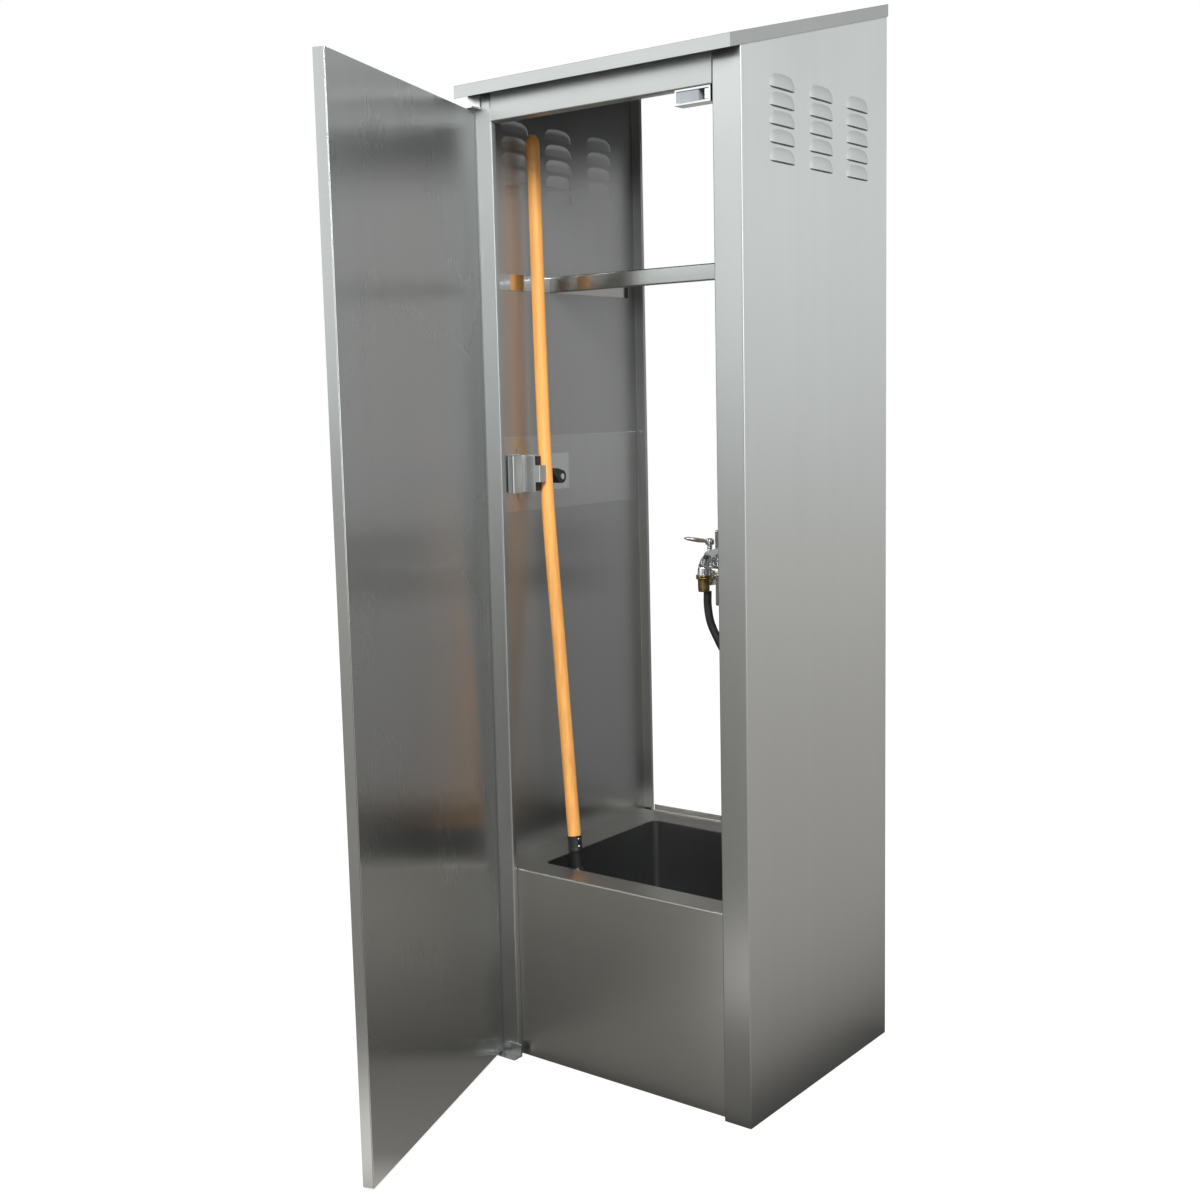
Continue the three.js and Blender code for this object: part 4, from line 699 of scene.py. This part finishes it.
class SERVICESINK_OT_louvre_mouths(bpy.types.Operator):
    """Builds dark strips of painted shade in the openings under the side panels' louvre hoods"""
    bl_idname = "servicesink.louvre_mouths"
    bl_label = "Louvre mouths"

    def execute(self, context):
        """Each mouth is a strip of painted shade, a dark sheet where the opening holds only shade,
        from the hood's lip to the sheet. Along its length t from -1 to 1 the lip stands out by
        LOUVRE_SOFT times the hood's height times (1 - t^4) to the power of 0.8. The strip runs
        from just inside it, down and in, to just off the sheet's face, and is drawn to nothing at
        both ends."""
        inside, off = 0.0003, 0.0002
        t = np.linspace(-1, 1, 25)
        across = np.linspace(0, 1, 4)
        strip = (len(across), len(t))
        lip = LOUVRE_SOFT * LOUVRE_PROUD * (1 - t ** 4) ** 0.8
        x = LOUVRE_FACE + off + np.outer(1 - across, lip - inside).clip(0)
        y = np.broadcast_to(t * LOUVRE_LENGTH / 2, strip)
        z = -np.outer(across, context.scene.servicesink_sheets.louvre_mouth * (1 - t ** 10))
        column, row = (v.reshape(-1, 1, 1) for v in np.meshgrid(
            LOUVRE_COLUMNS, LOUVRE_ROWS, indexing="ij"))
        first = x.size * np.arange(column.size)[:, None, None]
        for hand, name in HANDS:
            points = np.stack([
                np.broadcast_to(hand * x, (column.size, *strip)), column + y, row + z], -1)
            faces = (grid_faces(*strip, False)[:, ::hand] + first).reshape(-1, 4)
            mouths = mesh_piece("louvre_mouths_" + name, points, faces)
            # the strips take a near-black painted shade
            mouths.data.materials.append(shadow_gap("louvre_shadow_" + name))
            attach(mouths, BODY_OF["side_panel_" + name])
        return {"FINISHED"}


class SERVICESINK_OT_fittings(bpy.types.Operator):
    """Gives the faucet, drain, holder and catch their plated, brass and moulded finishes"""
    bl_idname = "servicesink.fittings"
    bl_label = "Fittings"

    def execute(self, context):
        finishes = {
            chrome_plate("chrome_plate", (0.80, 0.81, 0.82)): (
                "spout_brace", "drain_body", "tailpiece", "strainer_basket", "holder_cam_pin",
                "hinge_pin_bottom", "hinge_pin_top"),
            dull_brass("dull_brass"): (
                "drain_nut", "tailpiece_nut", "door_bush_bottom", "door_bush_top"),
            hose_rubber("black_rubber"): ("drain_gasket", "holder_grip_block", "holder_cam"),
            moulded("moulded_grey", (0.30, 0.32, 0.35), 0.45): ("catch_magnet",),
            moulded("moulded_pale", (0.72, 0.75, 0.77), 0.35): ("catch_bumper",),
        }
        for material, nodes in finishes.items():
            for node in nodes:
                finished_copy(node, material, 0.002 if node == "catch_bumper" else 0.0)
        return {"FINISHED"}


class SERVICESINK_OT_faucet(bpy.types.Operator):
    """Builds the faucet's castings, spout, bonnets and levers"""
    bl_idname = "servicesink.faucet"
    bl_label = "Faucet"

    def execute(self, context):
        """Turned profiles and a swept spout round the body's middle, where its axis meets the
        spout's. Each valve stands half a span to the side, and the wall is behind."""
        plate = chrome_plate("chrome_plate_faucet", (0.72, 0.73, 0.74))
        low, high = (np.array(v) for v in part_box("faucet_spout"))
        body_low, body_high = (np.array(v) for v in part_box("faucet_body"))
        middle = np.array([(low[0] + high[0]) / 2, high[1] - 0.015, low[2] - 0.007])
        half = (body_high[0] - body_low[0]) / 2 - 0.019
        reach = middle[1] - low[1] - 0.016
        end, wall = half / MM, (body_high[1] - middle[1]) / MM
        back = (0, 1, 0)

        def turned(profile, place=(0, 0, 0), axis=(0, 0, 1), around=48, rounds=2):
            return spun(rounded(profile, rounds) * MM, middle + np.array(place), axis, around)

        bar = [(0, -end), (14.8, -end), (14.8, -76), (12.2, -70), (12.2, -24), (14.9, -20),
               (14.9, 20), (12.2, 24), (12.2, 70), (14.8, 76), (14.8, end), (0, end)]
        sleeve = [(0, 35), (14, 35), (14, wall), (0, wall)]
        casting = [turned(bar, axis=(1, 0, 0)), turned(POST)]
        for hand, _ in HANDS:
            place = (hand * half, 0, 0)
            casting += [turned(VALVE, place), turned(SHANK, place, back),
                        turned(SHANK_NUT, place, back, 6, 0), turned(sleeve, place, back)]
        fine_piece("faucet_casting", "faucet_body", casting, plate)

        outlet = (0, -reach, 0)
        route = spline([(0, -share * reach, height * MM) for share, height in SPOUT_LINE], 64)
        radii = np.interp(np.linspace(0, 1, 64), *SPOUT_RADII) * MM
        fine_piece("swing_spout", "faucet_spout", [
            tube_points(middle + route, radii, 36, up=(1, 0, 0)),
            turned(SPOUT_TIP, outlet, rounds=1), turned(SPOUT_COLLAR)], plate)
        fine_piece("hose_ferrule", "hose_coupling", [turned(FERRULE, outlet, rounds=1)],
                   dull_brass("tarnished_brass"))
        fine_piece("breaker_dome", "vacuum_breaker", [turned(BREAKER)], plate)

        cup = [(0, wall + 9.2), (29, wall + 9.2), (29, wall + 7.4), (26, wall + 4.4),
               (19, wall + 1.8), (14.6, wall + 0.2), (0, wall + 0.2)]
        for hand, name in HANDS:
            place = (hand * half, 0, 0)
            fine_piece("bonnet_dome_" + name, "bonnet_" + name, [turned(BONNET, place)], plate)
            self.lever(name, hand, plate)
            fine_piece("wall_cup_" + name, "inlet_flange_" + name,
                       [turned(cup, place, back, 56)], plate)
        return {"FINISHED"}

    def lever(self, name, hand, plate):
        """A blade of rounded sections that swells and then tapers to its raised tip, a domed hub
        and a stem with rings on it, whose radius ripples with a cosine."""
        low, high = (np.array(v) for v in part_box("lever_" + name))
        hub = np.array([high[0] - 0.010 if hand < 0 else low[0] + 0.010, (low[1] + high[1]) / 2,
                        high[2] - 0.0075])
        along = np.linspace(0, 1, 30)
        line = np.stack([hand * 0.0675 * along, 0 * along, 0.0005 + 0.0050 * along ** 1.6], -1)
        halves = np.stack([np.interp(along, *BLADE_WIDTHS), np.interp(along, *BLADE_HEIGHTS)], -1)
        stem = np.linspace(low[2] + 0.0002, hub[2] - 0.005, 40) - hub[2]
        ripple = 0.0056 + 0.0006 * np.cos(2 * np.pi * stem / 0.0032)
        fine_piece("tap_lever_" + name, "lever_" + name, [
            lofted(hub + line, halves * MM, (0, 1, 0), (0, 0, 1)),
            spun(rounded(LEVER_HUB) * MM, hub), spun(np.stack([ripple, stem], -1), hub)], plate)


class SERVICESINK_OT_mop_clamp(bpy.types.Operator):
    """Builds the mop's black clamp with its socket, rivets and jaw"""
    bl_idname = "servicesink.mop_clamp"
    bl_label = "Mop clamp"

    def execute(self, context):
        """The socket is turned about the handle's axis, the jaw is a row of rounded-rectangle
        sections along it, and each rivet is a dome turned about a line square to the axis."""
        foot = HANDLE_ROUTE[0]
        axis = foot - HANDLE_ROUTE[1]
        axis /= np.linalg.norm(axis)
        side, out = (self.square(way, axis) for way in ((1, 0, 0), (0.966, -0.259, 0)))
        run, widths, heights = np.array(JAW) * MM
        fine_piece("clamp_socket", "mop_clamp", [
            spun(rounded(CLAMP_SOCKET) * MM, foot, axis),
            lofted(foot + run[:, None] * axis, np.stack([widths, heights], -1), side,
                   np.cross(axis, side), 5, 48)],
            moulded("moulded_black_clamp", (0.016, 0.016, 0.018), 0.32))
        rivets = fine_piece("clamp_rivets", "mop_clamp", [
            spun(rounded(RIVET) * MM, foot + axis * place, out, 20) for place in (0.001, 0.0165)],
            chrome_plate("rivet_steel", (0.62, 0.63, 0.63)))
        return {"FINISHED"}

    def square(self, way, axis):
        """The part of a direction that is square to the axis, one long."""
        way = np.array(way, float)
        way -= axis * (way @ axis)
        return way / np.linalg.norm(way)


class SERVICESINK_OT_mop_handle(bpy.types.Operator):
    """Builds the bowed wooden mop handle"""
    bl_idname = "servicesink.mop_handle"
    bl_label = "Mop handle"

    def execute(self, context):
        """The handle's circle is carried along its bowed line, and its radius closes as a quarter
        circle over the last few millimetres."""
        fittings = context.scene.servicesink_fittings
        line = spline(HANDLE_ROUTE, 120)
        radius, crown = fittings.handle_diameter / 2, 0.006
        run = np.linspace(0, np.linalg.norm(np.diff(line, axis=0), axis=1).sum(), len(line))
        share = np.minimum((run[-1] - run) / crown, 1)
        radii = radius * (0.55 + 0.45 * np.sqrt(1 - (1 - share) ** 2))
        fine_piece("wooden_handle", "mop_handle", [tube_points(line, radii, 40)],
                   varnished_wood("varnished_wood", tuple(fittings.wood_tone)))
        return {"FINISHED"}


class SERVICESINK_OT_stage(bpy.types.Operator):
    """Builds the pale floor, the soft light and the plain surroundings"""
    bl_idname = "servicesink.stage"
    bl_label = "Stage"

    def execute(self, context):
        stage = context.scene.servicesink_stage
        scene = context.scene
        scene.view_settings.view_transform = "Standard"
        floor = self.plain_sheet("floor", [
            (-14, -14, -0.001), (14, -14, -0.001), (14, 14, -0.001), (-14, 14, -0.001)],
            self.floor_finish(tuple(stage.floor_tone)))
        card = self.plain_sheet("grey_card", [
            (-0.5, 0.05, 0.01), (0.3, 0.05, 0.01), (0.3, 0.05, 2.11), (-0.5, 0.05, 2.11)],
            self.card_finish())
        self.surroundings(scene, stage.world_level)
        self.lamp("key_light", (2.5, -3.5, 4.2), (-0.1, -0.4, 1.0), 2.0, stage.key_power)
        return {"FINISHED"}

    def plain_sheet(self, name, corners, material):
        sheet = mesh_piece(name, np.array(corners, float), [(0, 1, 2, 3)], smooth=False)
        sheet.data.materials.append(material)
        return sheet

    def floor_finish(self, tone):
        """White with a faint shadow for the camera. For metal the floor glows by place instead of
        being lit: dark close to the cabinet as painted shade, paler far off as painted light, more
        so on its right side than on the others, with a painted highlight in front on the left.
        Each ramp counts metres out from the cabinet's edge."""
        finish = Finish("pale_floor", Roughness=0.6, Base_Color=(*shade(tone, 0.3), 1))
        path = finish.node("LightPath")
        place = finish.node("SeparateXYZ", Vector=finish.where())
        x, y = place.outputs["X"], place.outputs["Y"]
        # The floor's glow for reflections: dark close to the cabinet as painted shade, paler
        # further off as painted light.
        beside = finish.steps(finish.ramp(x, 0, 1, (0.29, 8.29)), (
            (0.004, 0.13), (0.036, 0.40), (0.082, 0.57), (0.16, 0.60), (0.28, 0.63), (0.6, 0.72),
            (1.0, 0.76)))
        front = finish.ramp(y, 1, 0, (-8.53, -0.53))
        farthest = finish.joined("MAXIMUM", front, finish.joined(
            "MAXIMUM", finish.ramp(y, 0, 1, (0.02, 8.02)), finish.ramp(x, 1, 0, (-8.32, -0.32))))
        around = finish.steps(farthest, (
            (0.0, 0.10), (0.006, 0.21), (0.06, 0.32), (0.28, 0.40), (0.7, 0.46), (1.0, 0.60)))
        # Painted highlight: a bright band on the floor ahead on the left, for the right stile to
        # reflect.
        highlight_patch = finish.product(
            finish.steps(front, ((0.055, 0.0), (0.085, 0.8), (0.11, 0.8), (0.16, 0.0))),
            finish.ramp(x, 0, 1, (-0.32, -0.2)))
        level = finish.chosen(
            finish.ramp(x, 0, 1, (0.2, 0.5)), finish.joined("ADD", around, highlight_patch), beside)
        # Reflections see this glow, painted light and shade, in place of a lit floor.
        mirrored = finish.node("Emission", Color=(*tone, 1), Strength=level)
        white = finish.node("Emission", Strength=1.08)
        chalk = finish.node("BsdfDiffuse", Color=(0.9, 0.9, 0.9, 1))
        finish.show(finish.layered(
            path.outputs["Is Camera Ray"],
            finish.layered(path.outputs["Is Glossy Ray"], finish.shader, mirrored),
            finish.layered(0.22, white, chalk)))
        return finish.material

    def card_finish(self):
        """A grey card behind the cabinet that glows instead of being lit, as painted light, and is
        darker at the top as painted shade. Only reflections from inside the cabinet show it."""
        finish = Finish("grey_card")
        height = finish.node("SeparateXYZ", Vector=finish.where()).outputs["Z"]
        # painted light that rises with height, then painted shade: near black above the header's
        # height
        level = finish.steps(finish.ramp(height, 0, 1, (0, 2.9)), (
            (0.0, 0.20), (0.27, 0.29), (0.44, 0.42), (0.64, 0.44), (0.675, 0.05)))
        inner = finish.joined("SUBTRACT", 1.0, finish.node("NewGeometry").outputs["Backfacing"])
        shown = finish.product(finish.node("LightPath").outputs["Is Glossy Ray"], inner)
        finish.show(finish.layered(
            shown, finish.node("BsdfTransparent"), finish.node("Emission", Strength=level)))
        return finish.material

    def surroundings(self, scene, level):
        """The sky is white to the camera and gives a plain level of light. Metal sees it a little
        dimmer at the horizon, high up, straight ahead and high behind, with one brighter part
        ahead on the left and one on the right."""
        world = bpy.data.worlds.new("surroundings")
        scene.world = world
        world.use_nodes = True
        sky = Nodes(world.node_tree)
        path = sky.node("LightPath")
        camera = path.outputs["Is Camera Ray"]
        view = sky.node("TexCoord").outputs["Generated"]
        rise = sky.node("SeparateXYZ", Vector=view).outputs["Z"]

        def towards(direction, low, high, at):
            """A level by how nearly a ray runs in the direction."""
            facing = sky.node("VectorMath", operation="DOT_PRODUCT")
            sky.put(view, facing.inputs[0])
            sky.put(direction, facing.inputs[1])
            return sky.ramp(facing.outputs["Value"], low, high, at)

        plain = sky.product(
            sky.ramp(rise, 0.75, 1.06, (-0.05, 0.13)), sky.ramp(rise, 1.0, 0.82, (0.15, 0.24)),
            sky.ramp(rise, 1.0, 0.5, (0.24, 0.5)), towards((0.2, -0.98, 0), 1.0, 0.5, (0.8, 0.95)),
            towards((0.13, 0.93, 0.34), 1.0, 0.4, (0.93, 0.98)))
        left = sky.product(towards((-0.54, -0.84, 0), 0.0, 1.0, (0.75, 0.95)),
                           sky.ramp(rise, 0.0, 0.82, (-0.045, 0.01)))
        right = sky.product(towards((0.99, -0.13, 0), 0.0, 1.0, (0.84, 0.97)),
                            sky.ramp(rise, 1.1, 2.9, (-0.05, 0.1)))
        shiny = sky.joined(
            "MAXIMUM", path.outputs["Is Glossy Ray"], path.outputs["Is Transmission Ray"])
        mirrored = sky.joined("ADD", sky.joined("ADD", plain, left), right)
        strength = sky.chosen(camera, sky.chosen(shiny, level, mirrored), 1.0)
        background = sky.tree.nodes["Background"]
        sky.put(strength, background.inputs["Strength"])
        sky.put(sky.tint(camera, (0.975, 1, 1), (1, 1, 1)), background.inputs["Color"])

    def lamp(self, name, place, target, size, power):
        data = bpy.data.lights.new(name, "AREA")
        data.shape = "SQUARE"
        data.size = size
        data.energy = power
        lamp = bpy.data.objects.new(name, data)
        away = np.array(place, float) - np.array(target, float)
        lamp.matrix_world = aimed(place, away / np.linalg.norm(away))
        bpy.context.scene.collection.objects.link(lamp)


class SERVICESINK_PT_panel(bpy.types.Panel):
    """Lists the pieces of the service sink cabinet"""
    bl_idname = "SERVICESINK_PT_panel"
    bl_label = "Service sink"
    bl_space_type = "VIEW_3D"
    bl_region_type = "UI"
    bl_category = "Service sink"

    def draw(self, context):
        for operator in OPERATORS:
            self.layout.operator(operator.bl_idname)


GROUPS = (StageSettings, SheetSettings, FittingSettings)
OPERATORS = (
    SERVICESINK_OT_camera, SERVICESINK_OT_hose, SERVICESINK_OT_sheet_metal,
    SERVICESINK_OT_louvre_mouths, SERVICESINK_OT_fittings, SERVICESINK_OT_faucet,
    SERVICESINK_OT_mop_handle, SERVICESINK_OT_mop_clamp, SERVICESINK_OT_stage,
)


def register():
    for cls in (*GROUPS, *OPERATORS, SERVICESINK_PT_panel):
        bpy.utils.register_class(cls)
    bpy.types.Scene.servicesink_stage = PointerProperty(type=StageSettings)
    bpy.types.Scene.servicesink_sheets = PointerProperty(type=SheetSettings)
    bpy.types.Scene.servicesink_fittings = PointerProperty(type=FittingSettings)


def unregister():
    del bpy.types.Scene.servicesink_fittings
    del bpy.types.Scene.servicesink_sheets
    del bpy.types.Scene.servicesink_stage
    for cls in reversed((*GROUPS, *OPERATORS, SERVICESINK_PT_panel)):
        bpy.utils.unregister_class(cls)


def main():
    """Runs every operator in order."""
    register()
    for name in ("camera", "hose", "sheet_metal", "louvre_mouths", "fittings", "faucet",
                 "mop_handle", "mop_clamp", "stage"):
        getattr(bpy.ops.servicesink, name)()


if __name__ == "__main__":
    main()
